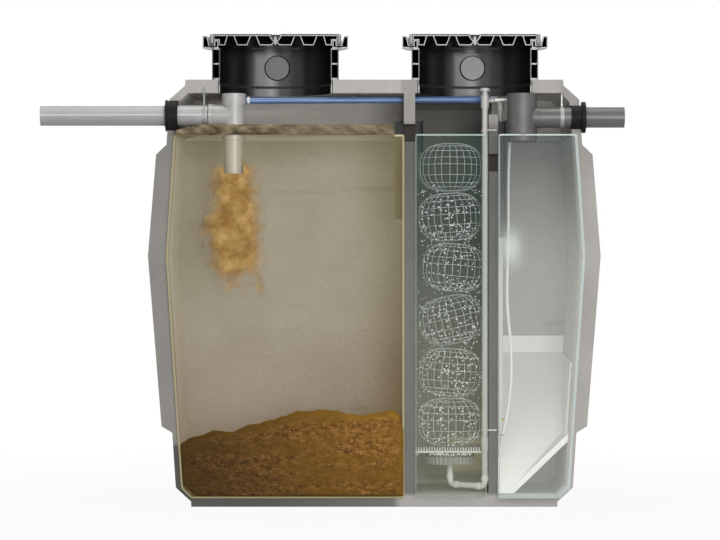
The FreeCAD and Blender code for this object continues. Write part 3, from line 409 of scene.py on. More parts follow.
def make_pipe_plastic(name, dark, light, roughness, stretch=EVEN, submerged_tone=None, highlight_height=None):
    """Pipe with faint streaks and a little dulling; if asked, another tone under water, and painted shade
    below a height with a painted highlight line along it.
    """
    finish = Finish(name, roughness, 0.5)
    x, z = finish.x, finish.z
    colour = finish.mottle(finish.grain(30, 3.0, 0.5, stretch), dark, light)
    if submerged_tone:
        colour = finish.mix(finish.between(z, WATER_TOP, WATER_TOP - 0.006), colour, submerged_tone)
    if highlight_height:
        # Painted shade below the highlight height on the inlet pipe
        under = finish.between(z, highlight_height + 0.025, highlight_height - 0.025)
        under = finish.product(under, finish.between(x, -0.88, -1.0), 0.30)
        colour = finish.mix(under, colour, srgb(112, 111, 109))
        # Painted highlight: a pale line along the inlet pipe and the tee at that height
        line = finish.between(finish.apart(z, highlight_height), 0.0034, 0.0012)
        line = finish.product(line, finish.between(x, -0.83, -0.90), 0.65)
        colour = finish.mix(line, colour, srgb(232, 232, 230))
    dulling = finish.mottle(finish.grain(14, 4.0), DARK_SHARE, PALE_SHARE)
    finish.colour(finish.mix(0.10, colour, dulling, "OVERLAY"))
    finish.relief(finish.grain(300, 2.0), 0.0003, 0.15)
    return finish.material


def make_blue_pipe():
    """Blue pipe with a pale union nut at the inlet tee."""
    finish = Finish("blue_pipe", 0.28, 0.5)
    colour = finish.mottle(finish.grain(30, 3.0, 0.5, ALONG_X), srgb(78, 108, 152), srgb(98, 128, 170))
    nut = finish.band(finish.x, (-0.6790, -0.6784), (-0.6654, -0.6660))
    finish.colour(finish.mix(nut, colour, srgb(206, 206, 203)))
    finish.relief(finish.grain(300, 2.0), 0.0003, 0.15)
    return finish.material


def make_steel():
    """Zinc steel, with the thin outlet rod painted white."""
    finish = Finish("zinc_steel", 0.5, 0.5)
    finish.set("Metallic", 0.35)
    brushed = finish.grain(80, 3.0, 0.6, (1.0, 1.0, 0.1))
    colour = finish.mottle(brushed, srgb(134, 134, 132), srgb(160, 160, 158))
    rod = finish.band(finish.z, (2.136, 2.138), (2.199, 2.197))
    rod = finish.product(rod, finish.between(finish.x, 0.90, 0.91))
    finish.colour(finish.mix(rod, colour, srgb(240, 240, 238)))
    return finish.material


def make_net_plastic():
    """Pale net, with painted shade on the strands that lie deep in the chamber."""
    finish = Finish("net_strand", 0.45, 0.4)
    strand = finish.mottle(finish.grain(50, 2.0), srgb(214, 222, 217), srgb(230, 236, 231))
    # Painted shade on the strands deep in the chamber
    painted_shade = finish.between(finish.y, CUT + 0.12, CUT + 0.22)
    finish.colour(finish.mix(painted_shade, strand, srgb(82, 92, 86)))
    return finish.material


def make_hopper_sheet():
    finish = Finish("hopper_sheet", 0.35, 0.4)
    finish.colour(finish.mottle(finish.grain(3.0, 3.0), srgb(244, 245, 242), srgb(250, 251, 249)))
    return finish.material


def make_sludge_finish():
    """Brown sludge in layers with a smooth skin, darker towards the inlet and the floor."""
    finish = Finish("settled_sludge", 0.7, 0.15)
    lumps = finish.grain(30, 5.0, 0.68, (0.8, 1.0, 1.5))
    specks = finish.between(finish.grain(95, 4.0, 0.7), 0.55, 0.66)
    pits = finish.between(finish.grain(60, 4.0, 0.7), 0.44, 0.34)
    browns = (0.34, srgb(84, 55, 16)), (0.50, srgb(122, 84, 30)), (0.66, srgb(158, 112, 58))
    colour = finish.ramp(lumps, *browns)
    colour = finish.mix(finish.product(specks, 0.7), colour, srgb(188, 142, 88))
    colour = finish.mix(finish.product(pits, 0.6), colour, srgb(58, 38, 10))
    skin = finish.mottle(finish.grain(8, 2.0), srgb(110, 79, 18), srgb(124, 90, 26))
    layers = finish.between(finish.grain(5.5, 3.0, 0.5, (0.35, 1.0, 2.6)), 0.40, 0.56)
    core = finish.add("ShaderNodeAttribute", attribute_name="core").outputs["Fac"]
    lumpy = finish.product(core, finish.work("ADD", finish.product(layers, 0.65), 0.35))
    colour = finish.mix(lumpy, skin, colour)
    to_inlet = finish.mix(finish.between(finish.x, -1.10, 0.10), grey(0.34), grey(1.12))
    to_floor = finish.mix(finish.between(finish.z, 0.06, 0.36), grey(0.80), grey(1.0))
    colour = finish.mix(1.0, colour, to_inlet, "MULTIPLY")
    finish.colour(finish.mix(1.0, colour, to_floor, "MULTIPLY"))
    finish.relief(finish.product(lumps, core), 0.008, 0.8)
    return finish.material


def make_scum_finish():
    """Brown crust with pale folds, calmer away from the inlet."""
    finish = Finish("floating_scum", 0.8, 0.15)
    folds = finish.grain(11, 2.5, 0.5, (1.0, 1.0, 1.9))
    fine = finish.grain(60, 3.0)
    browns = (0.36, srgb(64, 54, 37)), (0.49, srgb(110, 98, 77)), (0.66, srgb(144, 131, 106))
    colour = finish.ramp(folds, *browns)
    colour = finish.mix(0.22, colour, finish.mottle(fine, grey(0.35), grey(0.66)), "OVERLAY")
    calm = finish.product(finish.between(finish.x, -0.75, -0.35), 0.55)
    finish.colour(finish.mix(calm, colour, srgb(116, 104, 83)))
    finish.relief(finish.work("ADD", folds, finish.product(fine, 0.25)), 0.010, 0.7)
    return finish.material


def make_inflow_finish():
    """Amber cloud, thick in the middle, that thins to nothing at its edge and leaves the dip pipe clear."""
    finish = Finish("inflow_cloud", 0.95, 0.0)
    x, z = finish.x, finish.z
    patches = finish.grain(17, 4.0, 0.6)
    amber = (0.34, srgb(150, 111, 52)), (0.50, srgb(180, 142, 78)), (0.66, srgb(208, 170, 108))
    finish.colour(finish.ramp(patches, *amber))
    widest = 0.2
    stops = [(share, grey(half / widest)) for share, half in INFLOW_HALVES]
    low, high = INFLOW_RISE
    rise = finish.add("ShaderNodeMapRange", {"Value": z, "From Min": low, "From Max": high}).outputs[0]
    half = finish.product(finish.ramp(rise, *stops), widest)
    drift = finish.between(z, *reversed(INFLOW_DRIFT_RISE))
    middle = finish.work("ADD", INFLOW_X, finish.product(drift, INFLOW_DRIFT))
    out = finish.work("DIVIDE", finish.apart(x, middle), half)
    lump = finish.product(finish.work("SUBTRACT", finish.grain(12, 3.5, 0.5), 0.5), 1.1)
    body = finish.between(finish.work("ADD", out, lump), 1.10, 0.36)
    foot = finish.between(finish.work("ADD", z, finish.product(lump, -0.10)), 1.205, 1.285)
    wisps = finish.product(finish.between(finish.grain(15, 3.0), 0.50, 0.64), finish.between(z, 1.10, 1.17),
                           finish.between(out, 1.30, 0.80), 0.42)
    thick = finish.work("MAXIMUM", finish.product(body, foot, 0.70), wisps)
    pipe = finish.product(finish.between(finish.apart(x, DIP_MIDDLE), 0.056, 0.051),
                          finish.between(z, DIP_END - 0.003, DIP_END + 0.001))
    top = finish.between(finish.work("ADD", z, finish.product(lump, 0.05)), 1.842, 1.795)
    finish.set("Alpha", finish.product(thick, top, finish.work("SUBTRACT", 1.0, pipe)))
    finish.relief(patches, 0.012, 0.5)
    return finish.material


def make_bubble_finish():
    finish = Finish("air_bubbles", 0.25, 0.6)
    finish.colour(srgb(250, 252, 250))
    return finish.material


def make_yellow_plastic():
    finish = Finish("yellow_fitting", 0.45, 0.4)
    finish.colour(finish.mottle(finish.grain(80, 2.0), srgb(206, 172, 40), srgb(226, 196, 66)))
    return finish.material


def make_water(name, alpha, high, low, reach, glow=None):
    """Tinted water over the cut: a haze that changes from top to floor, with a pale glow if asked.

    A glow is its middle and half width along the tank, its middle and half height, and its strength.
    """
    finish = Finish(name, 0.9, 0.0)
    haze = finish.mix(finish.between(finish.z, *reach), low, high)
    colour = finish.mix(0.5, haze, finish.mottle(finish.grain(2.5, 3.0), grey(0.46), grey(0.54)), "OVERLAY")
    if glow:
        centre_x, half_x, centre_z, half_z, strength = glow
        side = finish.between(finish.apart(finish.x, centre_x), half_x, 0.0)
        rise = finish.between(finish.apart(finish.z, centre_z), half_z, 0.0)
        share = finish.product(side, rise, side, rise)
        colour = finish.mix(share, colour, srgb(232, 244, 236))
        alpha = finish.work("ADD", finish.product(share, strength), alpha)
    finish.colour(colour)
    finish.set("Alpha", alpha)
    return finish.material


def make_rim(name, colour, alpha):
    """Bright edge of a water block, a painted highlight along its bevel."""
    finish = Finish(name, 0.2, 0.5)
    bright = tuple(min(1.0, c * 1.08) for c in colour)
    finish.colour(finish.mottle(finish.grain(6, 2.0), colour, bright))
    finish.set("Alpha", alpha)
    return finish.material


# Building tools

def place_mesh(name, mesh):
    piece = bpy.data.objects.new(name, mesh)
    bpy.context.collection.objects.link(piece)
    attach(piece, "root")
    return piece


def mesh_of(name, points, faces, materials, picks=None, smooth=False):
    mesh = bpy.data.meshes.new(name)
    mesh.from_pydata([tuple(p) for p in points], [], faces)
    for material in materials:
        mesh.materials.append(material)
    if picks:
        mesh.polygons.foreach_set("material_index", picks)
    shell = bmesh.new()
    shell.from_mesh(mesh)
    bmesh.ops.recalc_face_normals(shell, faces=shell.faces)
    shell.to_mesh(mesh)
    shell.free()
    for polygon in mesh.polygons:
        polygon.use_smooth = smooth
    return mesh


def node_tree(name, inputs):
    """Empty node group with a geometry input, named inputs and a geometry output."""
    tree = bpy.data.node_groups.new(name, "GeometryNodeTree")
    tree.interface.new_socket("Geometry", in_out="INPUT", socket_type="NodeSocketGeometry")
    for label, kind in inputs:
        tree.interface.new_socket(label, in_out="INPUT", socket_type="NodeSocket" + kind)
    tree.interface.new_socket("Geometry", in_out="OUTPUT", socket_type="NodeSocketGeometry")
    return tree, tree.nodes.new("NodeGroupInput").outputs, tree.nodes.new("NodeGroupOutput").inputs


def close_tree(tree, geometry, material, out):
    """Ends a tree with plain geometry in one material."""
    real = add_node(tree, "GeometryNodeRealizeInstances", {0: geometry})
    last = add_node(tree, "GeometryNodeSetMaterial", {0: real.outputs[0], "Material": material})
    tree.links.new(last.outputs[0], out[0])
    return tree


def bridge(rings, closed=True):
    """Faces between each row of points and the next; a closed row joins its ends."""
    faces = []
    for a, b in zip(rings, rings[1:]):
        for k in range(len(a) if closed else len(a) - 1):
            n = (k + 1) % len(a)
            faces.append((a[k], b[k], b[n], a[n]))
    return faces


def grown(name, points, edges, tree, values, sizes=None):
    """Plain mesh that a node tree makes from points or edges."""
    mesh = bpy.data.meshes.new(name + "_points")
    mesh.from_pydata([tuple(p) for p in points], edges, [])
    if sizes:
        mesh.attributes.new("size", "FLOAT", "POINT").data.foreach_set("value", sizes)
    seed = bpy.data.objects.new(name + "_seed", mesh)
    bpy.context.collection.objects.link(seed)
    modifier = seed.modifiers.new("grow", "NODES")
    modifier.node_group = tree
    for item in tree.interface.items_tree:
        if item.in_out == "INPUT" and item.name in values:
            modifier[item.identifier] = values[item.name]
    graph = bpy.context.evaluated_depsgraph_get()
    made = bpy.data.meshes.new_from_object(seed.evaluated_get(graph), depsgraph=graph)
    made.name = name
    bpy.data.objects.remove(seed)
    return made


FULL_TURN = 6.28
STUD_TAPER = 0.72


def strand_tree():
    """Edges become round strands."""
    inputs = ("Strand", "Float"), ("Sides", "Int"), ("Finish", "Material")
    tree, given, out = node_tree("net_strands", inputs)
    curve = add_node(tree, "GeometryNodeMeshToCurve", {0: given["Geometry"]}).outputs[0]
    size = {"Resolution": given["Sides"], "Radius": given["Strand"]}
    ring = add_node(tree, "GeometryNodeCurvePrimitiveCircle", size).outputs[0]
    tube = add_node(tree, "GeometryNodeCurveToMesh", {"Curve": curve, "Profile Curve": ring})
    soft = add_node(tree, "GeometryNodeSetShadeSmooth", {0: tube.outputs[0]})
    return close_tree(tree, soft.outputs[0], given["Finish"], out)


def fleck_tree():
    """A small turned grain at each point, scaled by the point's own size."""
    tree, given, out = node_tree("flecks", (("Grain", "Float"), ("Seed", "Int"), ("Finish", "Material")))
    ball = add_node(tree, "GeometryNodeMeshIcoSphere", {"Radius": given["Grain"], "Subdivisions": 1})
    any_turn = {1: (FULL_TURN, FULL_TURN, FULL_TURN), "Seed": given["Seed"]}
    turn = add_node(tree, "FunctionNodeRandomValue", any_turn, data_type="FLOAT_VECTOR")
    size = add_node(tree, "GeometryNodeInputNamedAttribute", {"Name": "size"}, data_type="FLOAT")
    spread = add_node(tree, "GeometryNodeInstanceOnPoints",
                      {"Points": given["Geometry"], "Instance": ball.outputs[0],
                       "Rotation": turn.outputs[0], "Scale": size.outputs[0]})
    soft = add_node(tree, "GeometryNodeSetShadeSmooth", {0: spread.outputs[0]})
    return close_tree(tree, soft.outputs[0], given["Finish"], out)


def stud_tree():
    """A low round stud on each point, narrower at its top."""
    inputs = ("Radius", "Float"), ("Height", "Float"), ("Sides", "Int"), ("Finish", "Material")
    tree, given, out = node_tree("studs", inputs)
    top = add_node(tree, "ShaderNodeMath", {0: given["Radius"], 1: STUD_TAPER}, operation="MULTIPLY")
    stud = add_node(tree, "GeometryNodeMeshCone",
                    {"Vertices": given["Sides"], "Radius Bottom": given["Radius"],
                     "Radius Top": top.outputs[0], "Depth": given["Height"]})
    spread = add_node(tree, "GeometryNodeInstanceOnPoints",
                      {"Points": given["Geometry"], "Instance": stud.outputs[0]})
    return close_tree(tree, spread.outputs[0], given["Finish"], out)


# Net balls, bubbles and the inflow

def ball_r(z):
    """Radius of a net ball at a height over its middle: full sides and a flat cap."""
    share = min(1.0, abs(z) / BALL_HALF)
    return max(BALL_CAP_R, BALL_R * (1 - share ** BALL_FULLNESS) ** (1 / BALL_FULLNESS))


BUBBLE_R = 0.0049
NET_STRAND = 0.0013
RING_HEIGHTS = (-0.1308, -0.126, -0.108, -0.085, -0.044, 0.013, 0.050, 0.086, 0.111, 0.126, 0.1308)
MERIDIANS = 26
MERIDIAN_STEPS = 26
RING_STEPS = 64


def ball_middle(number):
    low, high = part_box("net_ball_%d" % number)
    return (low + high) / 2


def make_net_ball(number, tree, material):
    """Net of wobbly meridians and rings, tilted as the ball lies in the column."""
    chance = random.Random(40 + number)
    tilt = Matrix.Rotation(math.radians(BALL_TILTS[number - 1]), 4, "Y")
    turn = Matrix.Translation(ball_middle(number)) @ tilt
    points, edges = [], []

    def knot(r, angle, z):
        points.append(turn @ Vector((r * math.cos(angle), r * math.sin(angle), z)))

    wobble = [chance.uniform(-0.012, 0.012) for _ in range(MERIDIANS)]
    for m in range(MERIDIANS):
        angle = 2 * math.pi * m / MERIDIANS + wobble[m] + 0.05
        for step in range(MERIDIAN_STEPS):
            rise = math.sin(math.pi * (step / (MERIDIAN_STEPS - 1) - 0.5))
            z = 0.9985 * BALL_HALF * rise
            if step:
                edges.append((len(points) - 1, len(points)))
            knot(ball_r(z), angle + 0.014 * noise.noise((m * 1.7, step * 0.5, number)), z)
    for height in RING_HEIGHTS:
        first = len(points)
        for i in range(RING_STEPS):
            angle = 2 * math.pi * i / RING_STEPS
            sag = noise.noise((math.cos(angle) * 3, math.sin(angle) * 3, height * 40 + number))
            edges.append((first + i, first + (i + 1) % RING_STEPS))
            knot(ball_r(height), angle, height + 0.0018 * sag)
    name = "net_ball_mesh_%d" % number
    values = {"Strand": NET_STRAND, "Sides": 4, "Finish": material}
    piece = place_mesh(name, grown(name, points, edges, tree, values))
    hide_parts("net_ball_%d" % number)


def make_bubbles(tree, material):
    """Air rising through the balls: clusters on the nets, loose ones between them and under the grate."""
    chance = random.Random(7)
    points, sizes = [], []
    for number in range(1, 6):
        middle = ball_middle(number)
        for _ in range(120):
            start = chance.uniform(-0.82, 0.82) * math.pi / 2
            row = chance.choice(RING_HEIGHTS[2:8]) + chance.gauss(0, 0.022)
            for _ in range(chance.choice((1, 1, 1, 1, 2))):
                angle = start + chance.gauss(0, 0.08) - math.pi / 2
                z = max(-0.122, min(0.122, row + chance.gauss(0, 0.007)))
                r = ball_r(z) + chance.uniform(0.002, 0.008)
                points.append(middle + Vector((r * math.cos(angle), r * math.sin(angle), z)))
                sizes.append(chance.uniform(0.70, 1.15))
        for _ in range(46):
            side = chance.choice((-1, 1)) * chance.uniform(0.04, 0.18)
            z = BALL_HALF + chance.gauss(0.0, 0.030)
            points.append(middle + Vector((side, chance.uniform(-0.17, -0.04), z)))
            sizes.append(chance.uniform(0.5, 0.9))
    grate_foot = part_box("media_grate")[0].z
    for _ in range(70):
        x, depth = chance.uniform(0.30, 0.53), chance.uniform(0.02, 0.10)
        points.append(at(x, depth, grate_foot - chance.uniform(0.003, 0.012)))
        sizes.append(chance.uniform(0.7, 1.2))
    values = {"Grain": BUBBLE_R, "Seed": 3, "Finish": material}
    place_mesh("air_bubbles", grown("air_bubbles", points, [], tree, values, sizes))


def inflow_half(z):
    """Half width of the inflow cloud at a height."""
    share = (z - INFLOW_RISE[0]) / (INFLOW_RISE[1] - INFLOW_RISE[0])
    for (s0, h0), (s1, h1) in zip(INFLOW_HALVES, INFLOW_HALVES[1:]):
        if share <= s1:
            return h0 + (h1 - h0) * (share - s0) / (s1 - s0)
    return INFLOW_HALVES[-1][1]


def make_inflow(material):
    """Cloud of settling matter under the dip pipe: a lumpy body that narrows to its ends."""
    columns, rows = 56, 110
    low, high = INFLOW_RISE
    drift_low, drift_high = INFLOW_DRIFT_RISE
    points, rings = [], []
    for j in range(rows + 1):
        z = low + (high - low) * j / rows
        ends = min(1.0, j / 8, (rows - j) / 8)
        middle = INFLOW_X + INFLOW_DRIFT * eased((drift_high - z) / (drift_high - drift_low))
        half = 1.15 * inflow_half(z) * (0.35 + 0.65 * math.sqrt(ends))
        rings.append(range(len(points), len(points) + columns))
        for i in range(columns):
            angle = 2 * math.pi * i / columns
            side, fore = math.cos(angle), math.sin(angle)
            swell = 1.0 + 0.20 * noise.noise((side * 2.2, z * 14, fore * 2.2))
            depth = -0.044 + 0.020 * ends * fore * swell
            points.append(at(middle + half * side * swell, depth, z))
    faces = bridge(rings) + [tuple(rings[0]), tuple(rings[-1])]
    place_mesh("inflow_cloud", mesh_of("inflow_cloud", points, faces, [material], smooth=True))


# Sludge, scum and water

# Top of the sludge in millimetres: (away from the first partition, over the floor)
SLUDGE_TOP = ((10, 350), (16, 402), (40, 436), (72, 445), (142, 431), (225, 417), (300, 424), (372, 443),
              (445, 447), (515, 438), (572, 440), (645, 416), (715, 391), (830, 368), (945, 328), (1030, 336),
              (1130, 305), (1300, 230))
SLUDGE_FOOT = 0.062
SLUDGE_SKIN = 0.055
WALL_GAP = 0.002

# Panes of water: how far each stands out over the cut, and the foot, heel and top that they share
SETTLING_FRONT = 0.022
REACTOR_FRONT = 0.060
CLARIFIER_FRONT = 0.084
PANE_FOOT = 0.044
PANE_HEEL = 0.055
PANE_TOP = 1.991


def sludge_height(x):
    """Height of the settled sludge at a place along the tank."""
    gap = (FIRST_LEFT - x) * 1000
    for (d0, h0), (d1, h1) in zip(SLUDGE_TOP, SLUDGE_TOP[1:]):
        if gap <= d1:
            return FLOOR + (h0 + (h1 - h0) * eased((gap - d0) / (d1 - d0))) / 1000
    return FLOOR + SLUDGE_TOP[-1][1] / 1000


def heel_reach(z):
    """How far the heel chamfer stands out from the walls at a height."""
    return max(0.0, FLOOR + HEEL - z)


def sludge_left(z):
    """Inlet end of the sludge at a height."""
    return -inner_half(z) + heel_reach(z) + WALL_GAP


def sludge_back(z):
    """Back of the sludge at a height; the back wall leans as the end walls do."""
    return INNER_BACK + inner_half(z) - INNER_WAIST - heel_reach(z) - WALL_GAP


def make_sludge(material):
    """Bed with a lumpy front at the cut, an uneven top that falls to the back wall and a flat foot."""
    columns, rows, runs = 180, 34, 30
    left_end, right = -1.06, FIRST_LEFT - 0.003
    under = ((FLOOR + HEEL, sludge_back(FLOOR + HEEL)), (FLOOR, sludge_back(FLOOR)), (FLOOR, CUT - 0.002))
    points, tops = [], []
    front_rows, top_rows, foot_rows = [], [], []

    def spot(share, z, y):
        left = sludge_left(z)
        points.append(Vector((left + (right - left) * share, y, z)))
        return len(points) - 1

    for i in range(columns + 1):
        share = i / columns
        top = sludge_height(left_end + (right - left_end) * share)
        top += 0.003 * noise.noise((share * 60, 0.3, 0.7))
        line = []
        for k in range(rows + 1):
            z = SLUDGE_FOOT + (top - SLUDGE_FOOT) * k / rows
            swell = 0.004 * noise.noise((share * 48, z * 40, 5.5))
            swell += 0.003 * noise.noise((share * 120, z * 100, 1.5))
            round_off = 0.012 * max(0.0, k / rows - 0.94) / 0.06
            line.append(spot(share, z, CUT - SETTLING_FRONT - 0.008 - swell + round_off))
        front_rows.append(line)
        tops.append(top)
    for i, top in enumerate(tops):
        share = i / columns
        line = [front_rows[i][-1]]
        start, back = points[line[0]].y, sludge_back(top - 0.09)
        for j in range(1, runs + 1):
            y = start + (back - start) * j / runs
            ripple = 0.010 * noise.noise((share * 26, y * 18, 2.2)) * min(1.0, j / 4)
            line.append(spot(share, top - 0.075 * j / runs + ripple, y))
        top_rows.append(line)
    for i, front in enumerate(front_rows):
        foot = [spot(i / columns, z, y) for z, y in under]
        foot_rows.append([top_rows[i][-1]] + foot + [front[0]])
    faces = bridge(front_rows, False) + bridge(top_rows, False) + bridge(foot_rows, False)
    for i in (0, columns):
        faces.append(tuple(front_rows[i] + top_rows[i][1:] + foot_rows[i][1:-1]))
    mesh = mesh_of("sludge_bed", points, faces, [material], smooth=True)

    core = [0.0] * len(points)
    for i, line in enumerate(front_rows):
        for index in line:
            spare = min((tops[i] - points[index].z) / SLUDGE_SKIN, i / 8, (columns - i) / 6)
            core[index] = max(0.0, min(1.0, spare))
    mesh.attributes.new("core", "FLOAT", "POINT").data.foreach_set("value", core)
    piece = place_mesh("sludge_bed", mesh)
    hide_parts("settled_sludge")


def make_scum(material):
    """Floating crust with slanting folds on its front, thin at the inlet and round at the partition."""
    columns, rows = 240, 12
    low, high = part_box("floating_scum")
    left, right = low.x + 0.001, high.x - 0.0005
    base, back = low.z + 0.001, 0.66
    points, rings = [], []
    for i in range(columns + 1):
        share = i / columns
        x = left + (right - left) * share
        start = min(1.0, share / 0.09)
        end = math.sqrt(max(0.05, min(1.0, (1 - share) / 0.016)))
        rise = 0.054 * (0.40 + 0.60 * start)
        rise += 0.005 * noise.noise((x * 11, 0, 0)) + 0.003 * noise.noise((x * 47, 2.0, 0))
        top = base + rise * end
        foot = base - 0.016 * max(0.0, noise.noise((x * 42, 7.0, 0)) + 0.1) * max(0.0, 1 - share / 0.22)
        deep = 0.0070 - 0.0040 * min(1.0, share / 0.45)
        first = len(points)
        for k in range(rows + 1):
            t = k / rows
            z = foot + (top - foot) * t
            fold = deep * math.sin(x * 72 + z * 120 + 5.0 * noise.noise((x * 6, 1.0, 0)))
            rough = 0.005 * noise.noise((x * 38, z * 60, 4.0))
            round_off = 0.014 * max(0.0, t - 0.75) / 0.25
            points.append(Vector((x, low.y - 0.001 - fold - rough + round_off, z)))
        for depth in (0.05, 0.11, 0.2, 0.35, 0.5, back):
            lift = 0.010 * noise.noise((x * 16, depth * 16, 8.0))
            points.append(at(x, depth, top - 0.006 + lift))
        points.append(at(x, back, base + 0.72 * (top - base)))
        rings.append(range(first, len(points)))
    faces = bridge(rings) + [tuple(rings[0]), tuple(rings[-1])]
    piece = place_mesh("scum_crust", mesh_of("scum_crust", points, faces, [material], smooth=True))
    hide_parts("floating_scum")


def corner_triples(corners):
    """Each corner of an outline with the ones before and after it."""
    for i in range(len(corners)):
        yield (Vector(corners[k]) for k in (i - 1, i, (i + 1) % len(corners)))


def inset(corners, distances):
    """Corners moved inwards by a distance for each side; they run anticlockwise in the X, Z plane."""
    moved = []
    for i, (a, b, c) in enumerate(corner_triples(corners)):
        first, second = (b - a).normalized(), (c - b).normalized()
        n1, n2 = Vector((-first.y, first.x)), Vector((-second.y, second.x))
        d1, d2 = distances[i - 1], distances[i]
        turn = n1.x * n2.y - n1.y * n2.x
        if abs(turn) < 0.2:
            moved.append(b + (n1 + n2).normalized() * (d1 + d2) / 2)
        else:
            moved.append(b + Vector((d1 * n2.y - d2 * n1.y, d2 * n1.x - d1 * n2.x)) / turn)
    return moved


def rounded(corners, radius, steps=4):
    """Outline with its corners rounded."""
    made = []
    for a, b, c in corner_triples(corners):
        first, second = (a - b).normalized(), (c - b).normalized()
        for step in range(steps + 1):
            t = step / steps
            made.append(b + first * radius * (1 - t) ** 2 + second * radius * t ** 2)
    return made


def make_water_block(name, corners, front, edges, materials):
    """Pane of water over the cut with a bevelled edge, given for each side; corners as seen at the cut."""
    shrink = (EYE_AWAY - front) / EYE_AWAY
    corners = [(EYE.x + (x - EYE.x) * shrink, EYE.z + (z - EYE.z) * shrink) for x, z in corners]
    outline = rounded(corners, 0.012)
    inner = rounded(inset(corners, edges), 0.007)
    loops = [(outline, 0.0005), (outline, front - 0.0215), (outline, front - 0.007), (inner, front)]
    if loops[1][1] < 0.002:
        loops = loops[1:]
    points, rings = [], []
    for loop, out in loops:
        rings.append(range(len(points), len(points) + len(loop)))
        points += [at(p.x, -out, p.y) for p in loop]
    faces = bridge(rings)
    edge_faces = 2 * len(outline)
    picks = [0] * (len(faces) - edge_faces) + [1] * edge_faces + [0, 0]
    faces += [tuple(rings[-1]), tuple(rings[0])]
    place_mesh(name, mesh_of(name, points, faces, materials, picks))


def make_water_sheet(name, left, right, material):
    """Still surface of the water from the pane to the back wall."""
    front, back = CUT - 0.036, 0.38
    corners = (left, front), (right, front), (right, back), (left, back)
    points = [(x, y, z) for z in (WATER_TOP - 0.010, WATER_TOP - 0.006) for x, y in corners]
    faces = bridge([range(4), range(4, 8)]) + [(0, 1, 2, 3), (4, 5, 6, 7)]
    place_mesh(name, mesh_of(name, points, faces, [material]))


def wall_line(overlap, high, side):
    """Corners of a water block that follow an end wall, from over the heel to a height."""
    heights = [PANE_FOOT + PANE_HEEL, 0.6, WAIST, high]
    return [(side * (inner_half(z) + overlap), z) for z in heights]


def make_waters():
    """Water of the three chambers: a pane at the cut for each, and two still surfaces behind them."""
    yellow = make_water("settling_water", 0.085, srgb(244, 224, 158), srgb(200, 152, 44), (0.5, 1.3))
    yellow_rim = make_rim("settling_edge", srgb(200, 190, 146), 0.72)
    left, right = wall_line(0.017, WATER_TOP, -1), FIRST_LEFT + 0.002
    corners = [(left[0][0] + PANE_HEEL, PANE_FOOT), (right, PANE_FOOT), (right, WATER_TOP)] + left[::-1]
    make_water_block("settling_pane", corners, SETTLING_FRONT, [0.010] * len(corners), [yellow, yellow_rim])

    # The reactor's haze is paler low down: painted light for the lower chamber
    green = make_water("reactor_water", 0.085, srgb(112, 136, 124), srgb(214, 216, 186), (0.30, 1.60))
    green_rim = make_rim("reactor_edge", srgb(166, 188, 176), 0.55)
    left, right, foot = FIRST_RIGHT + 0.001, SECOND_LEFT - 0.011, 0.052
    corners = [(left, foot), (right, foot), (right, PANE_TOP), (left, PANE_TOP)]
    make_water_block("reactor_pane", corners, REACTOR_FRONT, [0.007, 0.007, 0.009, 0.007], [green, green_rim])

    glow = (0.728, 0.115, 1.385, 0.210, 0.32)
    # The clarifier's haze is paler low down: painted light in the shade under the hopper
    cyan = make_water("clarifier_water", 0.15, srgb(140, 150, 147), srgb(244, 248, 240), (1.20, 1.90), glow)
    cyan_rim = make_rim("clarifier_edge", srgb(206, 220, 218), 0.62)
    left, right = SECOND_RIGHT + 0.003, wall_line(0.031, PANE_TOP, 1)
    corners = [(left, PANE_FOOT), (right[0][0] - PANE_HEEL, PANE_FOOT)] + right + [(left, PANE_TOP)]
    edges = [0.022, 0.024] + [0.016] * (len(right) - 1) + [0.008, 0.007]
    make_water_block("clarifier_pane", corners, CLARIFIER_FRONT, edges, [cyan, cyan_rim])

    make_water_sheet("reactor_surface", FIRST_RIGHT + 0.003, SECOND_LEFT - 0.003, green)
    make_water_sheet("clarifier_surface", SECOND_RIGHT + 0.003, 1.050, cyan)


# Lids, hangers and small fittings

RIGHT, BACK, UP = Vector((1, 0, 0)), Vector((0, 1, 0)), Vector((0, 0, 1))
STUD_START = 0.0062
STUD_PITCH = 0.014
STUD_ROW_PITCH = 0.8660 * STUD_PITCH
STUD_ROWS = 29
STUD_R = 0.0044
STUD_HEIGHT = 0.0044
HUB_R = 0.036
LID_MARGIN = 0.012
SCREWS = 7
SCREW_PROFILE = ((0.0015, -0.043), (0.0075, -0.043), (0.0085, -0.040), (0.0085, -0.002), (0.0105, -0.002),
                 (0.0105, 0.002), (0.0080, 0.0035), (0.0015, 0.0035))


def lid_disc(name):
    """Middle, radius and top of a lid."""
    low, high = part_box(name + "_lid")
    return (low.x + high.x) / 2, (high.x - low.x) / 2, high.z


def make_lid_studs(tree, material):
    """Foot grip on both lids, in rows set over by half a pitch."""
    for lid in ("inlet", "outlet"):
        middle, radius, top = lid_disc(lid)
        points = []
        for row in range(STUD_ROWS):
            for column in range(-STUD_ROWS, STUD_ROWS + 1):
                x = (column + 0.5 * (row % 2)) * STUD_PITCH
                depth = STUD_START + row * STUD_ROW_PITCH
                if HUB_R < math.hypot(x, depth) < radius - LID_MARGIN:
                    points.append(at(middle + x, depth, top + 0.0018))
        name = lid + "_lid_grip"
        values = {"Radius": STUD_R, "Height": STUD_HEIGHT, "Sides": 6, "Finish": material}
        place_mesh(name, grown(name, points, [], tree, values))


def make_lid_screws(material):
    """Screws round the rim of both lids, the end ones at the cut."""
    shapes = []
    for lid in ("inlet", "outlet"):
        middle, radius, top = lid_disc(lid)
        out = radius - 0.011
        for step in range(SCREWS):
            angle = math.pi * step / (SCREWS - 1)
            place = at(middle + out * math.cos(angle), out * math.sin(angle), top)
            shapes.append(turned_ring(place, UP, SCREW_PROFILE, 16))
    place_shapes("lid_screws", shapes, material)


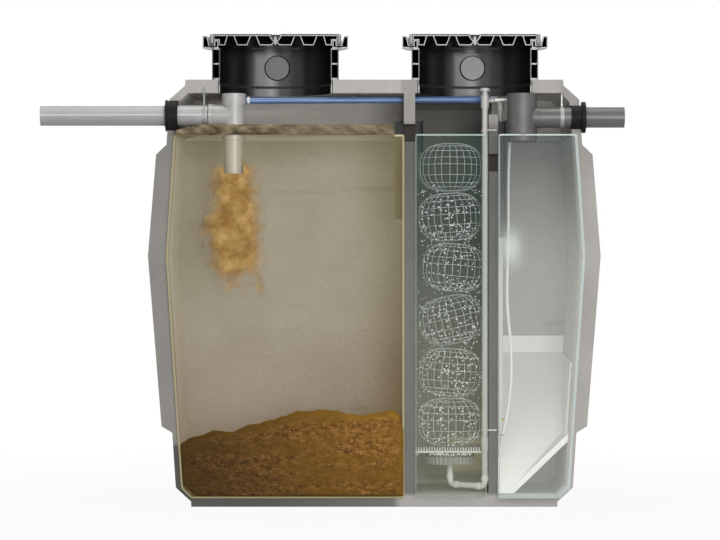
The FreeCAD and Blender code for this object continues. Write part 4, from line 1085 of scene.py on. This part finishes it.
def turned_ring(centre, axis, profile, sides=28):
    """Closed ring: profile points are (radius, along) about an axis."""
    axis = axis.normalized()
    side = axis.orthogonal().normalized()
    third = axis.cross(side)
    points, rings = [], []
    for i in range(sides):
        angle = 2 * math.pi * i / sides
        out = side * math.cos(angle) + third * math.sin(angle)
        rings.append(range(len(points), len(points) + len(profile)))
        points += [centre + out * r + axis * along for r, along in profile]
    return points, bridge(rings + rings[:1])


def plain_profile(inner, outer, low, high):
    """Square section of a ring."""
    return (inner, low), (outer, low), (outer, high), (inner, high)


def join_shapes(shapes):
    points, faces = [], []
    for more, rings in shapes:
        start = len(points)
        points += more
        faces += [tuple(start + k for k in ring) for ring in rings]
    return points, faces


def place_shapes(name, shapes, material):
    points, faces = join_shapes(shapes)
    place_mesh(name, mesh_of(name, points, faces, [material]))


def hex_nut(centre, axis, radius, height):
    """Six-sided nut with a bevelled rim and a washer under it."""
    bore = radius * 0.5
    profile = (bore, 0), (radius, 0), (radius, height * 0.8), (radius * 0.88, height), (bore, height)
    washer = plain_profile(bore, radius * 1.3, -height * 0.25, 0)
    return join_shapes((turned_ring(centre, axis, profile, 6), turned_ring(centre, axis, washer, 20)))


BLANK_DEPTH, BLANK_HEIGHT = 0.2832, 2.3655
NUT_HEIGHT = 2.2095
KNOB_HEIGHT = 2.1455
KNOB_PROFILE = ((0.0010, -0.0060), (0.0040, -0.0052), (0.0062, -0.0020), (0.0064, 0.0012), (0.0046, 0.0050),
                (0.0010, 0.0062))
PIN_HEIGHTS = (2.011, 0.409)
PIN_PROFILE = ((0.0006, 0.0), (0.0042, 0.0), (0.0042, 0.038), (0.0056, 0.040), (0.0056, 0.046),
               (0.0030, 0.052), (0.0006, 0.054))
VALVE_PROFILE = ((0.0010, 0.0), (0.0060, 0.0), (0.0060, 0.0040), (0.0082, 0.0050), (0.0082, 0.0110),
                 (0.0060, 0.0130), (0.0010, 0.0130))


def make_joint_rings(material):
    """Dark ring round the blank of each riser and at the mouth of the inlet tee's branch."""
    blank_ring = (0.0635, 0), (0.0685, 0), (0.0680, 0.0015), (0.0640, 0.0015)
    shapes = [turned_ring(at(x, BLANK_DEPTH, BLANK_HEIGHT), -BACK, blank_ring, 48) for x in RISER_MIDDLES]
    mouth_ring = plain_profile(0.0550, 0.0634, 0, 0.0026)
    mouth = at(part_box("inlet_tee")[0].x, 0, INLET_AXIS)
    shapes.append(turned_ring(mouth, -RIGHT, mouth_ring, 48))
    place_shapes("joint_rings", shapes, material)


def make_hanger_nuts(material):
    """Nuts under the roof on both pipe hangers and the round end of the thin outlet rod."""
    shapes = []
    for name, radius in (("inlet_hanger", 0.012), ("outlet_hanger", 0.008)):
        shapes.append(hex_nut(at(middle_x(name), 0, NUT_HEIGHT), -UP, radius, 0.009))
    shapes.append(turned_ring(at(middle_x("outlet_hanger"), 0, KNOB_HEIGHT), UP, KNOB_PROFILE, 20))
    place_shapes("hanger_nuts", shapes, material)


def make_wall_pins(material):
    """Pins that hold the air pipe's clips to the second partition, seen at the cut."""
    shapes = []
    for z in PIN_HEIGHTS:
        shapes.append(turned_ring(at(SECOND_LEFT - 0.010, -0.0005, z), RIGHT, PIN_PROFILE, 16))
    place_shapes("wall_pins", shapes, material)


def make_hose_fittings(yellow, steel):
    """Yellow valve on the airlift over the hose's end, and a clamp at each end of the hose."""
    valve = turned_ring(at(0.6905, 0.1385, 0.458), Vector((0.75, -0.65, 0.1)), VALVE_PROFILE, 20)
    place_shapes("air_valve", [valve], yellow)
    points = hose_points()
    band = plain_profile(0.0084, 0.0098, 0, 0.008)
    shapes = []
    for start, aim, shift in ((points[0], points[1], 0.010), (points[-1], points[-2], 0.006)):
        axis = (aim - start).normalized()
        shapes.append(turned_ring(start + axis * shift, axis, band, 24))
    place_shapes("hose_clamps", shapes, steel)


# Studio

def seen_rays(tree):
    """1 for rays that show the studio itself, 0 for those that only carry its light."""
    path = tree.nodes.new("ShaderNodeLightPath").outputs
    seen = path["Is Camera Ray"]
    for kind in ("Is Glossy Ray", "Is Transmission Ray"):
        seen = add_node(tree, "ShaderNodeMath", {0: seen, 1: path[kind]}, operation="MAXIMUM").outputs[0]
    return seen


def make_floor():
    """Wide floor that shows white, a little darker near the plant."""
    finish = Finish("studio_floor", 0.9, 0.0)
    finish.colour(grey(0.34))
    tree = finish.tree
    away = finish.add("ShaderNodeVectorMath", {0: finish.place}, operation="LENGTH").outputs["Value"]
    white = finish.work("SUBTRACT", 1.0, finish.product(finish.between(away, 4.5, 1.2), 0.06))
    share = finish.product(seen_rays(tree), white)
    glow = finish.add("ShaderNodeEmission", {"Color": grey(1.0), "Strength": 1.0}).outputs[0]
    blend = finish.add("ShaderNodeMixShader", {0: share, 1: finish.shader.outputs[0], 2: glow})
    tree.links.new(blend.outputs[0], tree.nodes["Material Output"].inputs["Surface"])
    size = 400.0
    corners = [(-size, -size, 0), (size, -size, 0), (size, size, 0), (-size, size, 0)]
    mesh = bpy.data.meshes.new("studio_floor")
    mesh.from_pydata(corners, [], [(0, 1, 2, 3)])
    mesh.materials.append(finish.material)
    floor = bpy.data.objects.new("studio_floor", mesh)
    bpy.context.collection.objects.link(floor)


def make_world():
    """White backdrop that lights the plant less than it shows."""
    world = bpy.data.worlds.new("studio")
    bpy.context.scene.world = world
    world.use_nodes = True
    tree = world.node_tree
    level = add_node(tree, "ShaderNodeMapRange", {"Value": seen_rays(tree), "To Min": 0.40, "To Max": 1.0})
    fill(tree, tree.nodes["Background"], {"Color": grey(1.0), "Strength": level.outputs[0]})


def make_lamp(name, place, aim, width, height, power):
    data = bpy.data.lights.new(name, "AREA")
    data.shape = "RECTANGLE"
    data.size = width
    data.size_y = height
    data.energy = power
    lamp = bpy.data.objects.new(name, data)
    lamp.location = place
    lamp.rotation_euler = (Vector(aim) - Vector(place)).to_track_quat("-Z", "Y").to_euler()
    bpy.context.collection.objects.link(lamp)


# Name, place, height aimed at, width, height and watts
LAMPS = (("front", (1.6, -9.7, 1.35), 1.3, 2.6, 2.6, 276),
         ("front_strip", (0.4, -10.3, 3.3), 1.8, 3.6, 1.2, 115),
         ("right_strip", (4.3, -7.8, 3.2), 1.8, 4.4, 1.2, 130),
         ("left", (-3.6, -8.8, 1.4), 1.2, 3.0, 3.0, 75),
         ("top", (0.2, -0.6, 7.0), 2.0, 3.0, 3.0, 150),
         ("rear", (-2.5, 6.5, 4.0), 1.2, 4.0, 4.0, 150))


def make_studio():
    make_floor()
    make_world()
    for name, place, aim_height, width, height, power in LAMPS:
        make_lamp(name, place, (0, 0, aim_height), width, height, power)


def dress(nodes, material):
    """Gives CAD nodes a finished material."""
    for name in nodes:
        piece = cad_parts[name]
        piece.data.materials.clear()
        piece.data.materials.append(material)


# Node, name of its finish, dark and light colour, roughness, and what else the finish has
PIPE_FINISHES = (
    ("inlet_pipe", "pale_pipe", srgb(170, 170, 168), srgb(180, 180, 178), 0.24,
     {"stretch": ALONG_X, "highlight_height": INLET_HIGHLIGHT}),
    ("inlet_tee", "pale_fitting", srgb(160, 159, 156), srgb(170, 169, 166), 0.28,
     {"submerged_tone": srgb(176, 168, 148), "highlight_height": INLET_HIGHLIGHT}),
    ("inlet_dip_pipe", "silty_fitting", srgb(170, 162, 142), srgb(180, 173, 154), 0.32, {}),
    ("outlet_pipe", "grey_pipe", srgb(84, 83, 82), srgb(96, 95, 94), 0.36, {"stretch": ALONG_X}),
    ("outlet_tee", "grey_fitting", srgb(78, 78, 76), srgb(90, 90, 88), 0.42, {}),
    ("diffuser_base", "grey_disc", srgb(130, 131, 126), srgb(142, 143, 138), 0.45, {}),
    ("diffuser_membrane", "membrane_rubber", srgb(92, 93, 86), srgb(106, 107, 100), 0.6, {}),
    ("air_feed", "bright_plastic", srgb(222, 222, 216), srgb(234, 234, 229), 0.35, {}),
    ("airlift_pipe", "dull_white_plastic", srgb(158, 158, 154), srgb(174, 174, 170), 0.4,
     {"stretch": ALONG_Z, "submerged_tone": srgb(224, 226, 222)}),
)

bpy.context.scene.view_settings.view_transform = "Standard"
make_camera()
make_hose(make_pipe_plastic("clear_white_hose", srgb(246, 248, 246), srgb(252, 253, 252), 0.35))

black = make_black_plastic()
steel = make_steel()
rubber = make_rubber()
white = make_pipe_plastic("white_plastic", srgb(170, 170, 167), srgb(184, 184, 181), 0.35, ALONG_Z,
                          srgb(202, 203, 199))
dress(("base_slab", "back_wall", "inlet_end_wall", "outlet_end_wall", "roof_slab", "first_partition",
       "second_partition"), make_concrete())
dress(("inlet_riser", "outlet_riser", "inlet_lid_frame", "outlet_lid_frame", "inlet_lid", "outlet_lid"),
      black)
dress(("settling_baffle", "reactor_baffle", "clarifier_baffle"), make_dark_sheet())
dress(("inlet_riser_seal", "outlet_riser_seal", "inlet_gasket", "outlet_gasket"), rubber)
dress(("inlet_hanger", "outlet_hanger"), steel)
dress(("air_pipe", "air_tee", "air_pipe_clips", "media_grate", "grate_cleats"), white)
dress(("return_pipe",), make_blue_pipe())
dress(("hopper_end_plate", "hopper_back_plate"), make_hopper_sheet())
for node, finish_name, dark, light, roughness, extras in PIPE_FINISHES:
    dress((node,), make_pipe_plastic(finish_name, dark, light, roughness, **extras))

strands = strand_tree()
flecks = fleck_tree()
net = make_net_plastic()
for ball in range(1, 7):
    make_net_ball(ball, strands, net)
make_bubbles(flecks, make_bubble_finish())
make_inflow(make_inflow_finish())
make_sludge(make_sludge_finish())
make_scum(make_scum_finish())
make_waters()
make_lid_studs(stud_tree(), black)
make_lid_screws(steel)
make_joint_rings(rubber)
make_hanger_nuts(steel)
make_wall_pins(white)
make_hose_fittings(make_yellow_plastic(), steel)
make_studio()
